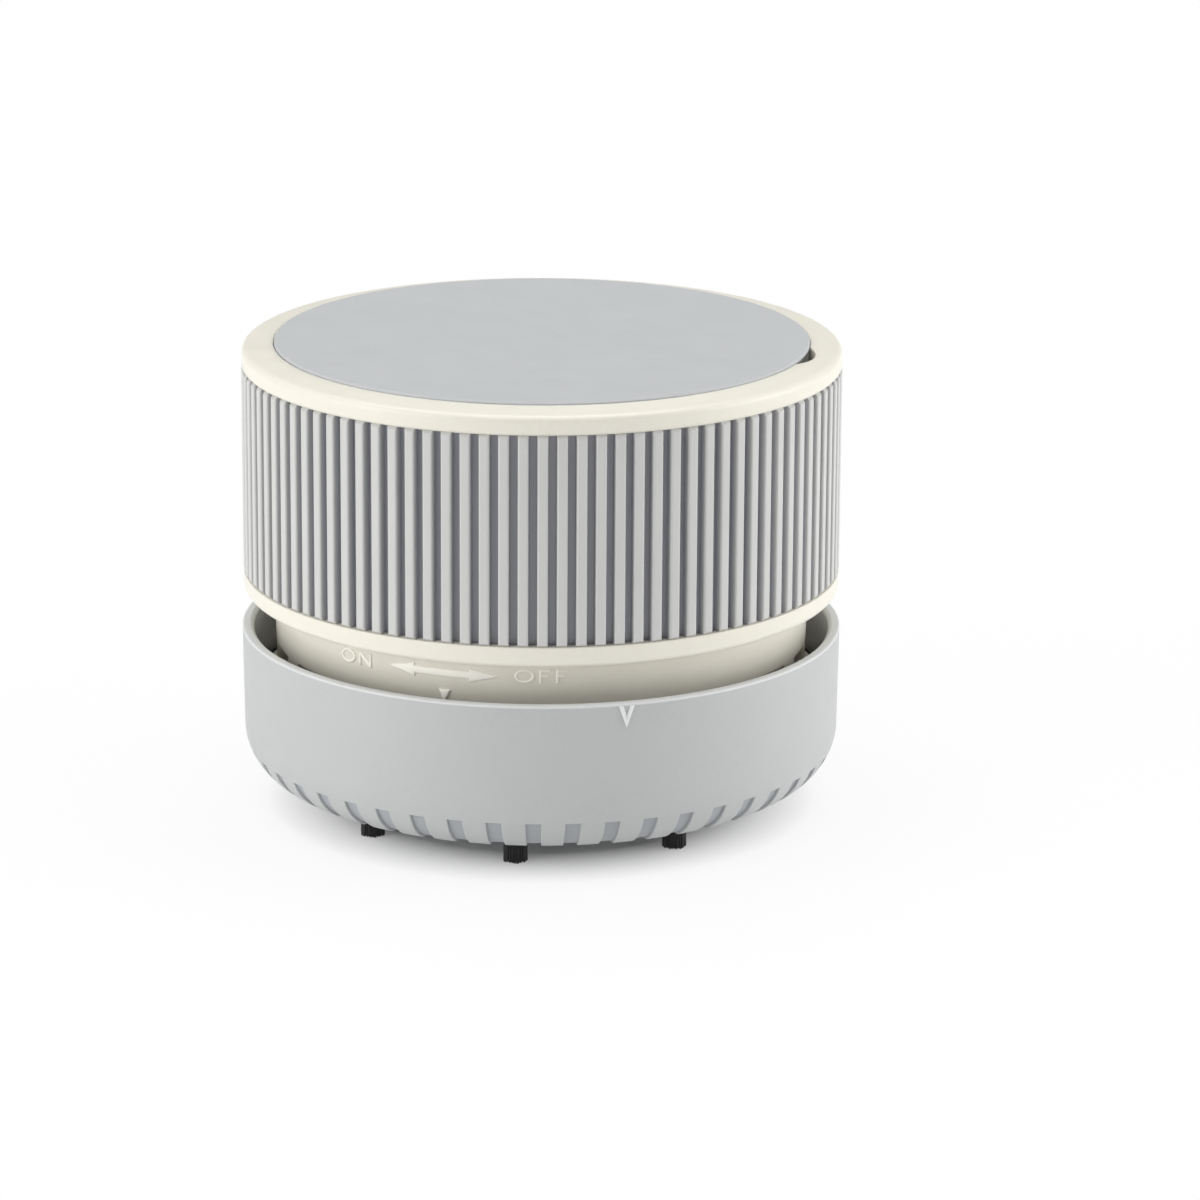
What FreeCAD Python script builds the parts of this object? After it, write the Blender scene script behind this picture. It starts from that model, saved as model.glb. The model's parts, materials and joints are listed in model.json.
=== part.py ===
import FreeCAD, Part
import math
import os
import Sketcher

# Driving dimensions: millimetres, degrees and counts.
# Heights add up from the tips of the brush, and turns are counted from the front.
SIZES = [
    # Brush under the bowl
    ("tuft_count", 8),
    ("tuft_radius", 1.75),
    ("tuft_inset", 7.4),
    ("tuft_turn", -6.6),
    ("tuft_reach", 4.64),
    ("tuft_hold", 1.1),
    ("brush_ring_width", 7.2),
    ("brush_ring_thick", 1.3),
    # Dust bowl
    ("bowl_step", 0.25),
    ("bowl_draft", 0.2),
    ("bowl_foot", 4.4),
    ("bowl_bend", 6.76),
    ("bowl_wall", 1.4),
    ("floor_thick", 2.6),
    ("foot_width", 1.6),
    ("foot_rise", 0.6),
    ("rim_round", 0.3),
    ("rim_bevel", 0.5),
    ("ledge_rise", 8.36),
    ("ledge_reach", 2.0),
    ("ledge_thick", 1.0),
    ("notch_count", 48),
    ("notch_width", 2.05),
    ("notch_depth", 0.5),
    ("notch_rise", 4.2),
    ("notch_turn", -1.35),
    ("mark_turn", 15.9),
    ("mark_width", 2.1),
    ("mark_height", 3.5),
    ("mark_stroke", 0.5),
    ("mark_relief", 0.2),
    # Suction mouth
    ("mouth_radius", 9.0),
    ("inlet_wall", 1.2),
    ("inlet_rise", 5.4),
    ("inlet_flange", 2.0),
    ("inlet_flange_thick", 1.0),
    # Filter and turning collar
    ("frame_thick", 2.0),
    ("seal_width", 0.9),
    ("seal_height", 1.6),
    ("cloth_inset", 2.8),
    ("cloth_thick", 0.8),
    ("cloth_lap", 1.9),
    ("spoke_count", 6),
    ("spoke_width", 2.0),
    ("hub_radius", 4.0),
    ("collar_wall", 1.4),
    ("collar_rise", 2.2),
    ("bead_reach", 0.4),
    ("bead_height", 0.6),
    ("bead_rise", 0.8),
    ("stop_turn", 162.0),
    ("stop_width", 3.0),
    ("stop_reach", 1.8),
    ("twist_range", 36.0),
    # Neck housing
    ("neck_slot", 2.9),
    ("neck_draft", 0.3),
    ("neck_wall", 1.4),
    ("neck_fillet", 1.2),
    ("fan_floor_thick", 1.2),
    ("intake_radius", 13.0),
    ("guard_radius", 6.5),
    ("guard_width", 1.2),
    ("guard_count", 6),
    ("exhaust_count", 24),
    ("exhaust_width", 5.5),
    ("exhaust_height", 2.0),
    ("lip_gap", 5.1),
    ("lip_step", 0.05),
    ("lip_thick", 2.8),
    ("lip_round", 1.0),
    ("lip_slope", 0.3),
    ("index_turn", -20.3),
    ("index_width", 1.5),
    ("index_height", 1.8),
    ("index_drop", 7.7),
    # Screws of the case
    ("screw_inset", 3.8),
    ("screw_radius", 1.3),
    ("screw_pilot", 1.1),
    ("screw_head_radius", 2.3),
    ("screw_head_thick", 1.2),
    ("screw_bite", 6.0),
    ("screw_slot", 0.5),
    ("case_screw_count", 3),
    ("tray_screw_count", 4),
    ("post_radius", 2.6),
    # Ribbed shell
    ("shell_wall", 2.95),
    ("rib_count", 100),
    ("groove_width", 1.14),
    ("groove_depth", 1.4),
    ("rib_round", 0.3),
    ("rib_bevel", 0.4),
    ("rib_turn", 0.25),
    ("ear_width", 7.0),
    ("ear_thick", 1.8),
    ("tray_post_length", 9.0),
    # Top ring and lid
    ("cap_side", 1.8),
    ("cap_round", 0.95),
    ("cap_fall", 0.45),
    ("cap_height", 3.05),
    ("cap_ledge_thick", 1.0),
    ("cap_ledge_lap", 2.0),
    ("cap_skirt", 1.4),
    ("cap_skirt_depth", 3.0),
    ("lid_inset", 1.5),
    ("lid_stand", 0.35),
    ("lid_thick", 1.5),
    ("lid_bevel", 0.25),
    ("lid_wall", 1.2),
    ("lug_count", 4),
    ("lug_wall", 0.9),
    ("lug_length", 1.5),
    ("lug_width", 8.0),
    ("scoop_turn", 76.0),
    ("scoop_chord", 8.8),
    ("scoop_depth", 1.2),
    # Motor and fan
    ("plate_thick", 1.5),
    ("plate_room", 1.5),
    ("motor_radius", 12.2),
    ("motor_length", 11.4),
    ("motor_wall", 0.8),
    ("motor_nose_radius", 3.0),
    ("motor_nose_length", 1.2),
    ("motor_screw_circle", 8.0),
    ("motor_screw_radius", 0.95),
    ("motor_screw_head", 1.8),
    ("magnet_thick", 1.8),
    ("magnet_gap", 3.4),
    ("magnet_lift", 1.0),
    ("magnet_height", 8.0),
    ("end_cap_thick", 1.2),
    ("terminal_width", 2.2),
    ("terminal_thick", 0.3),
    ("terminal_start", 6.0),
    ("terminal_length", 10.0),
    ("shaft_radius", 1.0),
    ("armature_gap", 0.5),
    ("armature_lift", 1.8),
    ("armature_height", 5.4),
    ("armature_slot", 1.6),
    ("pole_depth", 5.0),
    ("pole_count", 3),
    ("commutator_radius", 2.4),
    ("commutator_height", 1.8),
    ("blade_count", 9),
    ("blade_height", 7.0),
    ("blade_thick", 1.0),
    ("blade_inner", 9.5),
    ("blade_sweep", 38.0),
    ("blade_bow", 24.0),
    ("fan_inset", 5.0),
    ("fan_disc_thick", 1.0),
    ("fan_hub_radius", 3.5),
    # Battery tray, two AA cells and contacts
    ("cell_radius", 7.1),
    ("cell_length", 49.2),
    ("cell_nub_radius", 2.7),
    ("cell_nub_length", 1.3),
    ("cell_spacing", 15.2),
    ("tray_room", 6.3941),
    ("tray_lift", 0.7),
    ("tray_wall", 1.2),
    ("tray_floor_thick", 1.0),
    ("tray_divider", 0.8),
    ("tray_divider_height", 5.0),
    ("deck_thick", 1.0),
    ("contact_thick", 0.4),
    ("contact_width", 9.0),
    ("contact_height", 10.0),
    ("spring_wire", 0.25),
    ("spring_length", 4.1),
    ("spring_radius", 4.6),
    ("spring_turns", 4),
    ("spring_tip_radius", 2.2),
    # Switch
    ("pad_length", 7.6),
    ("pad_width", 3.0),
    ("pad_thick", 0.3),
    ("pad_split", 1.0),
    ("pad_turn", -106.0),
    ("pad_inset", 4.8),
    ("pin_radius", 0.5),
    ("pin_length", 2.4),
    ("wiper_width", 2.4),
    ("wiper_foot", 2.0),
    ("wiper_arch", 3.0),
    ("wiper_thick", 0.3),
    # Inner leads
    ("lead_radius", 0.6),
    ("lead_bend", 3.0),
    ("lead_lane", 3.6),
    ("lead_rise", 4.5),
    # Clearances
    ("snug_gap", 0.1),
    ("seat_gap", 0.1),
    ("turn_gap", 0.2),
    ("side_gap", 0.3),
    ("shaft_gap", 0.05),
    ("fan_gap", 0.8),
    ("cut_overrun", 2.0),
]


class Size:
    """A number together with the sheet expression that gives it."""

    def __init__(self, value, text):
        self.value = value
        self.text = text

    def __add__(self, other):
        return join(self, "+", other)

    def __radd__(self, other):
        return join(other, "+", self)

    def __sub__(self, other):
        return join(self, "-", other)

    def __rsub__(self, other):
        return join(other, "-", self)

    def __mul__(self, other):
        return join(self, "*", other)

    def __rmul__(self, other):
        return join(other, "*", self)

    def __truediv__(self, other):
        return join(self, "/", other)

    def __rtruediv__(self, other):
        return join(other, "/", self)


def join(left, sign, right):
    """Combine two sizes or plain numbers, in value and in words."""
    first = left if isinstance(left, Size) else Size(left, str(left))
    second = right if isinstance(right, Size) else Size(right, str(right))
    results = {
        "+": lambda a, b: a + b,
        "-": lambda a, b: a - b,
        "*": lambda a, b: a * b,
        "/": lambda a, b: a / b,
    }
    value = results[sign](first.value, second.value)
    return Size(value, "(%s %s %s)" % (first.text, sign, second.text))


def root(size):
    return Size(math.sqrt(size.value), "sqrt(%s)" % size.text)


def sine(turn):
    return Size(math.sin(math.radians(turn.value)), "sin(%s * 1 deg)" % turn.text)


def cosine(turn):
    return Size(math.cos(math.radians(turn.value)), "cos(%s * 1 deg)" % turn.text)


def sweep_of(length, radius):
    """Turn in degrees that a length takes up along a circle of this radius."""
    return length * half_turn / (radius * Size(math.pi, "pi"))


def make_sheet():
    """Write the driving dimensions to the sheet and return them by name."""
    sheet = doc.addObject("Spreadsheet::Sheet", "Sizes")
    named = {}
    for row, (alias, number) in enumerate(SIZES, start=1):
        cell = "A%d" % row
        sheet.set(cell, str(number))
        sheet.setAlias(cell, alias)
    doc.recompute()
    for alias, number in SIZES:
        named[alias] = Size(float(sheet.get(alias)), "Sizes." + alias)
    return named


class Sizes:
    """The sheet's values as attributes."""

    def __init__(self, named):
        self.__dict__.update(named)


doc = FreeCAD.newDocument("desk_vacuum")
s = Sizes(make_sheet())
zero = Size(0.0, "0")
pair = Size(2, "2")
half_turn = Size(180, "180")
kept = {}
measured_features = []

# Heights above the table, from the bottom up
bowl_base = s.tuft_reach
recess_top = bowl_base + s.foot_rise
brush_ring_top = recess_top + s.brush_ring_thick
floor_top = bowl_base + s.floor_thick
bend_top = bowl_base + s.bowl_bend
inlet_top = floor_top + s.inlet_rise
ledge_top = floor_top + s.ledge_rise
frame_base = ledge_top + s.seat_gap
frame_top = frame_base + s.frame_thick
collar_top = frame_top + s.collar_rise
skirt_base = frame_top + s.side_gap
fan_floor_base = collar_top + s.side_gap
fan_floor_top = fan_floor_base + s.fan_floor_thick
fan_base = fan_floor_top + s.fan_gap
fan_disc_base = fan_base + s.blade_height
fan_top = fan_disc_base + s.fan_disc_thick
plate_base = fan_top + s.plate_room
lip_top = plate_base + s.plate_thick
lip_base = lip_top - s.lip_thick
rim_top = lip_base - s.lip_gap
motor_top = lip_top + s.motor_length
cap_of_motor_base = motor_top - s.motor_wall
cap_of_motor_top = cap_of_motor_base + s.end_cap_thick
tray_floor_base = cap_of_motor_top + s.tray_lift
tray_floor_top = tray_floor_base + s.tray_floor_thick
cell_axis = tray_floor_top + s.snug_gap + s.cell_radius
shell_top = cell_axis + s.cell_radius + s.side_gap * 2
shell_height = shell_top - lip_top
deck_base = shell_top - s.deck_thick
cap_top = shell_top + s.cap_height
cap_ledge_top = shell_top + s.cap_ledge_thick
lid_top = cap_top + s.lid_stand
lid_base = cap_ledge_top + s.seat_gap
lid_plate_base = lid_top - s.lid_thick

# Radii that several pieces share, from the room that the two cells need
tray_half_length = (s.cell_length + s.cell_nub_length + s.spring_length) / 2 + s.contact_thick
tray_half_width = s.cell_spacing / 2 + s.cell_radius + s.snug_gap
tray_reach = root(tray_half_length * tray_half_length + tray_half_width * tray_half_width)
shell_bore = tray_reach + s.tray_room
shell_radius = shell_bore + s.shell_wall
lip_radius = shell_radius - s.lip_step
plate_radius = shell_bore - s.ear_thick
lid_radius = shell_bore - s.lid_inset
cap_bore = lid_radius + s.snug_gap
cap_ledge_bore = cap_bore - s.cap_ledge_lap
skirt_outer = shell_bore - s.snug_gap
skirt_inner = skirt_outer - s.cap_skirt
deck_radius = skirt_inner - s.side_gap
bowl_radius = shell_radius + s.bowl_step
bowl_side = bowl_radius - s.bowl_draft
bowl_bore = bowl_side - s.bowl_wall
bowl_edge = bowl_side - s.bowl_foot
bend_radius = (s.bowl_foot * s.bowl_foot + s.bowl_bend * s.bowl_bend) / (s.bowl_foot * 2)
bend_centre = bowl_side - bend_radius
tuft_circle = bowl_edge - s.tuft_inset
inlet_outer = s.mouth_radius + s.inlet_wall
neck_top_radius = bowl_bore - s.neck_slot
neck_low_radius = neck_top_radius - s.neck_draft
neck_bore = neck_low_radius - s.neck_wall
screw_circle = neck_bore - s.screw_inset
pad_circle = neck_bore - s.pad_inset
fan_radius = screw_circle - s.fan_inset
collar_outer = neck_bore - s.turn_gap
collar_inner = collar_outer - s.collar_wall
bead_outer = collar_outer + s.bead_reach
cloth_radius = collar_inner - s.cloth_inset
seal_outer = bowl_bore - s.turn_gap
frame_outer = seal_outer - s.seal_width
frame_inner = cloth_radius - s.cloth_lap
magnet_outer = s.motor_radius - s.motor_wall
magnet_inner = magnet_outer - s.magnet_thick
armature_radius = magnet_inner - s.armature_gap


def spot(radius, turn, aside=zero):
    """Point at a radius and a turn from the front, moved aside along the tangent."""
    across = radius * sine(turn) + aside * cosine(turn)
    along = aside * sine(turn) - radius * cosine(turn)
    return across, along


def vector(across, up):
    return FreeCAD.Vector(across.value, up.value, 0)


def bow(start, end, radius, side):
    """Arc of less than half a circle between two points, turning to the named side."""
    chord = end - start
    lift = math.sqrt(radius ** 2 - (chord.Length / 2) ** 2)
    left = FreeCAD.Vector(-chord.y, chord.x, 0).normalize()
    towards = left if side == "left" else left * -1
    centre = (start + end) / 2 + towards * lift
    first, last = (start, end) if side == "left" else (end, start)
    open_turn = math.atan2(first.y - centre.y, first.x - centre.x)
    close_turn = math.atan2(last.y - centre.y, last.x - centre.x)
    if close_turn < open_turn:
        close_turn += 2 * math.pi
    circle = Part.Circle(centre, FreeCAD.Vector(0, 0, 1), radius)
    return Part.ArcOfCircle(circle, open_turn, close_turn)


def hold(sketch, constraints):
    """Add constraints and tie each one that has a size to the sheet."""
    start = sketch.ConstraintCount
    sketch.addConstraint([constraint for constraint, size in constraints])
    for number, (constraint, size) in enumerate(constraints, start=start):
        if size is not None:
            sketch.setExpression("Constraints[%d]" % number, size.text)


def place(edge, end, across, up):
    """Constraints that set one end of an edge at its distances from the origin."""
    return [
        (Sketcher.Constraint("DistanceX", -1, 1, edge, end, across.value), across),
        (Sketcher.Constraint("DistanceY", -1, 1, edge, end, up.value), up),
    ]


def outline(sketch, corners):
    """Closed outline through corners.

    A corner is (across, up), or (across, up, radius, side) where an arc leaves it.
    """
    first_edge = sketch.GeometryCount
    count = len(corners)
    shapes = []
    start_ends = []
    for number, corner in enumerate(corners):
        start = vector(corner[0], corner[1])
        following = corners[(number + 1) % count]
        end = vector(following[0], following[1])
        if len(corner) == 2:
            shapes.append(Part.LineSegment(start, end))
            start_ends.append(1)
        else:
            shapes.append(bow(start, end, corner[2].value, corner[3]))
            start_ends.append(1 if corner[3] == "left" else 2)
    sketch.addGeometry(shapes, False)
    constraints = []
    for number, corner in enumerate(corners):
        edge = first_edge + number
        after = (number + 1) % count
        constraints += place(edge, start_ends[number], corner[0], corner[1])
        joined = Sketcher.Constraint(
            "Coincident", edge, 3 - start_ends[number], first_edge + after, start_ends[after]
        )
        constraints.append((joined, None))
        if len(corner) > 2:
            constraints.append((Sketcher.Constraint("Radius", edge, corner[2].value), corner[2]))
    hold(sketch, constraints)


def ring(sketch, radius, across=zero, along=zero):
    """Circle at a place in the sketch."""
    edge = sketch.GeometryCount
    circle = Part.Circle(vector(across, along), FreeCAD.Vector(0, 0, 1), radius.value)
    sketch.addGeometry(circle, False)
    constraints = place(edge, 3, across, along)
    constraints.append((Sketcher.Constraint("Radius", edge, radius.value), radius))
    hold(sketch, constraints)


def bar(sketch, inner, outer, turn, width):
    """Rectangle that lies along a radius."""
    half = width / 2
    outline(sketch, [
        spot(inner, turn, zero - half),
        spot(outer, turn, zero - half),
        spot(outer, turn, half),
        spot(inner, turn, half),
    ])


def sector(sketch, inner, outer, middle, span):
    """Part of a flat ring, with its middle at a turn from the front."""
    low = middle - span / 2
    high = middle + span / 2
    outline(sketch, [
        spot(inner, low),
        spot(outer, low) + (outer, "left"),
        spot(outer, high),
        spot(inner, high) + (inner, "right"),
    ])


def rectangle(sketch, left, right, low, high):
    outline(sketch, [(left, low), (right, low), (right, high), (left, high)])


def new_body(name):
    """Body of one sub-part, kept under its node name."""
    body = doc.addObject("PartDesign::Body", name)
    body.Label = name
    body.Placement = FreeCAD.Placement()
    kept[name] = body
    return body


def new_sketch(body, role, rise=zero):
    """Sketch on one of the body's own planes, moved out along the plane's normal."""
    sketch = body.newObject("Sketcher::SketchObject", "Sketch")
    plane = [part for part in body.Origin.OriginFeatures if part.Role == role][0]
    sketch.AttachmentSupport = (plane, [""])
    sketch.MapMode = "FlatFace"
    sketch.AttachmentOffset = FreeCAD.Placement(FreeCAD.Vector(0, 0, rise.value), FreeCAD.Rotation())
    sketch.setExpression("AttachmentOffset.Base.z", rise.text)
    return sketch


def turned(body, corners):
    """Solid of revolution about the vertical axis."""
    sketch = new_sketch(body, "XZ_Plane")
    outline(sketch, corners)
    feature = body.newObject("PartDesign::Revolution", "Turned")
    feature.Profile = sketch
    feature.ReferenceAxis = (sketch, ["V_Axis"])
    feature.Angle = 360
    body.Tip = feature
    return feature


def raised(body, sketch, length, symmetric=False):
    """Pad of a sketch along its normal."""
    feature = body.newObject("PartDesign::Pad", "Raised")
    feature.Profile = sketch
    feature.Length = length.value
    feature.setExpression("Length", length.text)
    if symmetric:
        feature.SideType = "Symmetric"
    body.Tip = feature
    measured_features.append((feature, 1))
    return feature


def cut(body, sketch, length, symmetric=False, upward=False):
    """Pocket of a sketch, against its normal unless upward is set."""
    feature = body.newObject("PartDesign::Pocket", "Cut")
    feature.Profile = sketch
    feature.Length = length.value
    feature.setExpression("Length", length.text)
    feature.Reversed = upward
    if symmetric:
        feature.SideType = "Symmetric"
    body.Tip = feature
    measured_features.append((feature, -1))
    return feature


def around(body, features, count):
    """Repeat features evenly round the vertical axis."""
    feature = body.newObject("PartDesign::PolarPattern", "Around")
    axis = [part for part in body.Origin.OriginFeatures if part.Role == "Z_Axis"][0]
    feature.Originals = features
    feature.Axis = (axis, [""])
    feature.Angle = 360
    feature.Refine = False
    feature.Occurrences = int(count.value)
    feature.setExpression("Occurrences", count.text)
    body.Tip = feature
    return feature


def make_dust_bowl():
    """Grey bowl with a foot rim, an inner ledge for the filter and notches round its bend."""
    body = new_body("dust_bowl")
    recess_inner = tuft_circle - s.brush_ring_width / 2 - s.snug_gap
    recess_outer = tuft_circle + s.brush_ring_width / 2 + s.snug_gap
    hole = inlet_outer + s.snug_gap
    foot_inner = bowl_edge - s.foot_width
    inner_bend = bend_radius - s.bowl_wall
    floor_rise = bend_top - floor_top
    floor_edge = bend_centre + root(inner_bend * inner_bend - floor_rise * floor_rise)
    ledge_bore = bowl_bore - s.ledge_reach
    turned(body, [
        (hole, recess_top),
        (recess_inner, recess_top),
        (recess_inner, brush_ring_top),
        (recess_outer, brush_ring_top),
        (recess_outer, recess_top),
        (foot_inner, recess_top),
        (foot_inner, bowl_base),
        (bowl_edge, bowl_base, bend_radius, "left"),
        (bowl_side, bend_top),
        (bowl_radius, rim_top - s.rim_round, s.rim_round, "left"),
        (bowl_radius - s.rim_round, rim_top),
        (bowl_bore + s.rim_bevel, rim_top),
        (bowl_bore, rim_top - s.rim_bevel),
        (bowl_bore, ledge_top),
        (ledge_bore, ledge_top),
        (ledge_bore, ledge_top - s.ledge_thick),
        (bowl_bore, ledge_top - s.ledge_thick - s.ledge_reach),
        (bowl_bore, bend_top, inner_bend, "right"),
        (floor_edge, floor_top),
        (hole, floor_top),
    ])
    add_bowl_mark(body)
    notch_bend = bend_radius - s.notch_depth
    notch_top = bowl_base + s.notch_rise
    fall = bend_top - notch_top
    low = bend_centre + root(notch_bend * notch_bend - s.bowl_bend * s.bowl_bend)
    high = bend_centre + root(notch_bend * notch_bend - fall * fall)
    sketch = new_sketch(body, "XZ_Plane")
    outline(sketch, [
        (low, bowl_base, notch_bend, "left"),
        (high, notch_top),
        (bowl_radius + s.cut_overrun, notch_top),
        (bowl_radius + s.cut_overrun, bowl_base - s.cut_overrun),
        (low, bowl_base - s.cut_overrun),
    ])
    notch = cut(body, sketch, s.notch_width, symmetric=True)
    around(body, [notch], s.notch_count)
    body.Placement = FreeCAD.Placement(FreeCAD.Vector(), FreeCAD.Rotation(FreeCAD.Vector(0, 0, 1), 0))
    body.setExpression("Placement.Rotation.Angle", s.notch_turn.text + " * 1 deg")


def add_bowl_mark(body):
    """Raised V below the rim that the index on the neck is read against."""
    sketch = body.newObject("Sketcher::SketchObject", "Sketch")
    plane = [part for part in body.Origin.OriginFeatures if part.Role == "XZ_Plane"][0]
    start = bowl_side - s.mark_relief
    turn = s.mark_turn - s.notch_turn
    sketch.AttachmentSupport = (plane, [""])
    sketch.MapMode = "FlatFace"
    rotation = FreeCAD.Rotation(FreeCAD.Vector(0, 1, 0), turn.value)
    sketch.AttachmentOffset = FreeCAD.Placement(FreeCAD.Vector(), rotation)
    across = start * sine(turn)
    out = start * cosine(turn)
    sketch.setExpression("AttachmentOffset.Base.x", across.text)
    sketch.setExpression("AttachmentOffset.Base.z", out.text)
    sketch.setExpression("AttachmentOffset.Rotation.Angle", turn.text + " * 1 deg")
    half = s.mark_width / 2
    top = rim_top - s.rim_round
    outline(sketch, [
        (zero - half, top),
        (zero, top - s.mark_height),
        (half, top),
        (half - s.mark_stroke, top),
        (zero, top - s.mark_height + s.mark_stroke * s.mark_height / half),
        (s.mark_stroke - half, top),
    ])
    raised(body, sketch, s.bowl_draft + s.mark_relief * 2)


def make_inlet_tube():
    """Suction tube pressed into the floor, with a flange that sits on it."""
    body = new_body("inlet_tube")
    flange = inlet_outer + s.inlet_flange
    turned(body, [
        (s.mouth_radius, recess_top),
        (inlet_outer, recess_top),
        (inlet_outer, floor_top),
        (flange, floor_top),
        (flange, floor_top + s.inlet_flange_thick),
        (inlet_outer, floor_top + s.inlet_flange_thick),
        (inlet_outer, inlet_top),
        (s.mouth_radius, inlet_top),
    ])


def make_brush_ring():
    """Ring pressed into the underside, with a blind hole for each tuft."""
    body = new_body("brush_ring")
    half = s.brush_ring_width / 2
    turned(body, [
        (tuft_circle - half, recess_top),
        (tuft_circle + half, recess_top),
        (tuft_circle + half, brush_ring_top),
        (tuft_circle - half, brush_ring_top),
    ])
    sketch = new_sketch(body, "XY_Plane", recess_top)
    ring(sketch, s.tuft_radius, *spot(tuft_circle, s.tuft_turn))
    hole = cut(body, sketch, s.tuft_hold, upward=True)
    around(body, [hole], s.tuft_count)


def make_brush_tufts():
    """Round bundles of bristles, each a solid of its own."""
    body = new_body("brush_tufts")
    body.AllowCompound = True
    sketch = new_sketch(body, "XY_Plane")
    ring(sketch, s.tuft_radius, *spot(tuft_circle, s.tuft_turn))
    tuft = raised(body, sketch, recess_top + s.tuft_hold)
    around(body, [tuft], s.tuft_count)


def make_filter_frame():
    """Frame that closes the bowl, holds the filter and turns in the neck on its beaded collar."""
    body = new_body("filter_frame")
    rebate_top = frame_base + s.cloth_thick + s.snug_gap
    bead_base = frame_top + s.bead_rise
    turned(body, [
        (cloth_radius + s.snug_gap, frame_base),
        (frame_outer, frame_base),
        (frame_outer, frame_top),
        (collar_outer, frame_top),
        (collar_outer, bead_base),
        (bead_outer, bead_base),
        (bead_outer, bead_base + s.bead_height),
        (collar_outer, bead_base + s.bead_height),
        (collar_outer, collar_top),
        (collar_inner, collar_top),
        (collar_inner, frame_top),
        (frame_inner, frame_top),
        (frame_inner, rebate_top),
        (cloth_radius + s.snug_gap, rebate_top),
    ])
    web = frame_top - rebate_top
    sketch = new_sketch(body, "XY_Plane", rebate_top)
    bar(sketch, s.hub_radius / 2, frame_inner + s.cloth_lap / 2, zero, s.spoke_width)
    spoke = raised(body, sketch, web)
    around(body, [spoke], s.spoke_count)
    sketch = new_sketch(body, "XY_Plane", rebate_top)
    ring(sketch, s.hub_radius)
    raised(body, sketch, web)
    lug_sweep = sweep_of(s.stop_width + s.side_gap * 2, collar_inner)
    middle = s.stop_turn + s.twist_range / 2
    sketch = new_sketch(body, "XY_Plane", frame_top)
    sector(sketch, collar_inner - s.snug_gap, bead_outer + s.snug_gap, middle, s.twist_range + lug_sweep)
    cut(body, sketch, s.collar_rise + s.cut_overrun, upward=True)


def make_filter_cloth():
    """Disc of filter cloth in the rebate below the spokes."""
    body = new_body("filter_cloth")
    sketch = new_sketch(body, "XY_Plane", frame_base + s.snug_gap)
    ring(sketch, cloth_radius)
    raised(body, sketch, s.cloth_thick)


def make_seal_ring():
    """Rubber ring between the frame and the wall of the bowl."""
    body = new_body("seal_ring")
    turned(body, [
        (frame_outer, frame_base),
        (seal_outer, frame_base),
        (seal_outer, frame_base + s.seal_height),
        (frame_outer, frame_base + s.seal_height),
    ])


def make_neck_housing():
    """Ivory neck and lip, with the fan floor, the exhaust slots and the screw posts."""
    body = new_body("neck_housing")
    groove = bead_outer + s.turn_gap
    groove_base = frame_top + s.bead_rise - s.turn_gap
    groove_top = groove_base + s.bead_height + s.turn_gap * 2
    under_lip = lip_base - s.lip_slope
    plate_seat = plate_radius + s.snug_gap
    turned(body, [
        (neck_bore, skirt_base),
        (neck_low_radius, skirt_base),
        (neck_top_radius, under_lip - s.neck_fillet, s.neck_fillet, "right"),
        (neck_top_radius + s.neck_fillet, under_lip),
        (lip_radius - s.lip_round, lip_base, s.lip_round, "left"),
        (lip_radius, lip_base + s.lip_round),
        (lip_radius, lip_top),
        (plate_seat, lip_top),
        (plate_seat, plate_base),
        (neck_bore, plate_base),
        (neck_bore, fan_floor_top),
        (s.intake_radius, fan_floor_top),
        (s.intake_radius, fan_floor_base),
        (neck_bore, fan_floor_base),
        (neck_bore, groove_top),
        (groove, groove_top),
        (groove, groove_base),
        (neck_bore, groove_base),
    ])
    add_intake_guard(body)
    add_posts(body, fan_floor_top - s.snug_gap, plate_base, s.case_screw_count)
    add_stop_lug(body)
    add_pin_holes(body)
    add_index_mark(body)
    add_exhaust(body)


def add_intake_guard(body):
    """Bars and a ring across the fan's intake."""
    sketch = new_sketch(body, "XY_Plane", fan_floor_base)
    bar(sketch, zero, s.intake_radius + s.guard_width, zero, s.guard_width)
    guard_bar = raised(body, sketch, s.fan_floor_thick)
    around(body, [guard_bar], s.guard_count)
    sketch = new_sketch(body, "XY_Plane", fan_floor_base)
    ring(sketch, s.guard_radius)
    ring(sketch, s.guard_radius - s.guard_width)
    raised(body, sketch, s.fan_floor_thick)


def add_exhaust(body):
    """Slots low in the neck, hidden by the wall of the bowl."""
    sketch = new_sketch(body, "XY_Plane", fan_floor_top)
    outer = neck_top_radius + s.cut_overrun
    bar(sketch, neck_bore - s.snug_gap, outer, zero, s.exhaust_width)
    slot = cut(body, sketch, s.exhaust_height, upward=True)
    around(body, [slot], s.exhaust_count)


def add_posts(body, low, high, count):
    """Screw posts on the screw circle, each with a pilot hole from the top."""
    sketch = new_sketch(body, "XY_Plane", low)
    ring(sketch, s.post_radius, *spot(screw_circle, half_turn))
    post = raised(body, sketch, high - low)
    around(body, [post], count)
    sketch = new_sketch(body, "XY_Plane", high)
    ring(sketch, s.screw_pilot, *spot(screw_circle, half_turn))
    pilot = cut(body, sketch, s.screw_bite + s.snug_gap)
    around(body, [pilot], count)


def add_stop_lug(body):
    """Lug inside the skirt that runs in the gap of the collar and ends the twist."""
    sketch = new_sketch(body, "XY_Plane", frame_top + s.side_gap)
    bar(sketch, neck_bore - s.stop_reach, neck_bore + s.neck_wall / 2, s.stop_turn, s.stop_width)
    raised(body, sketch, fan_floor_base - frame_top)


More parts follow.
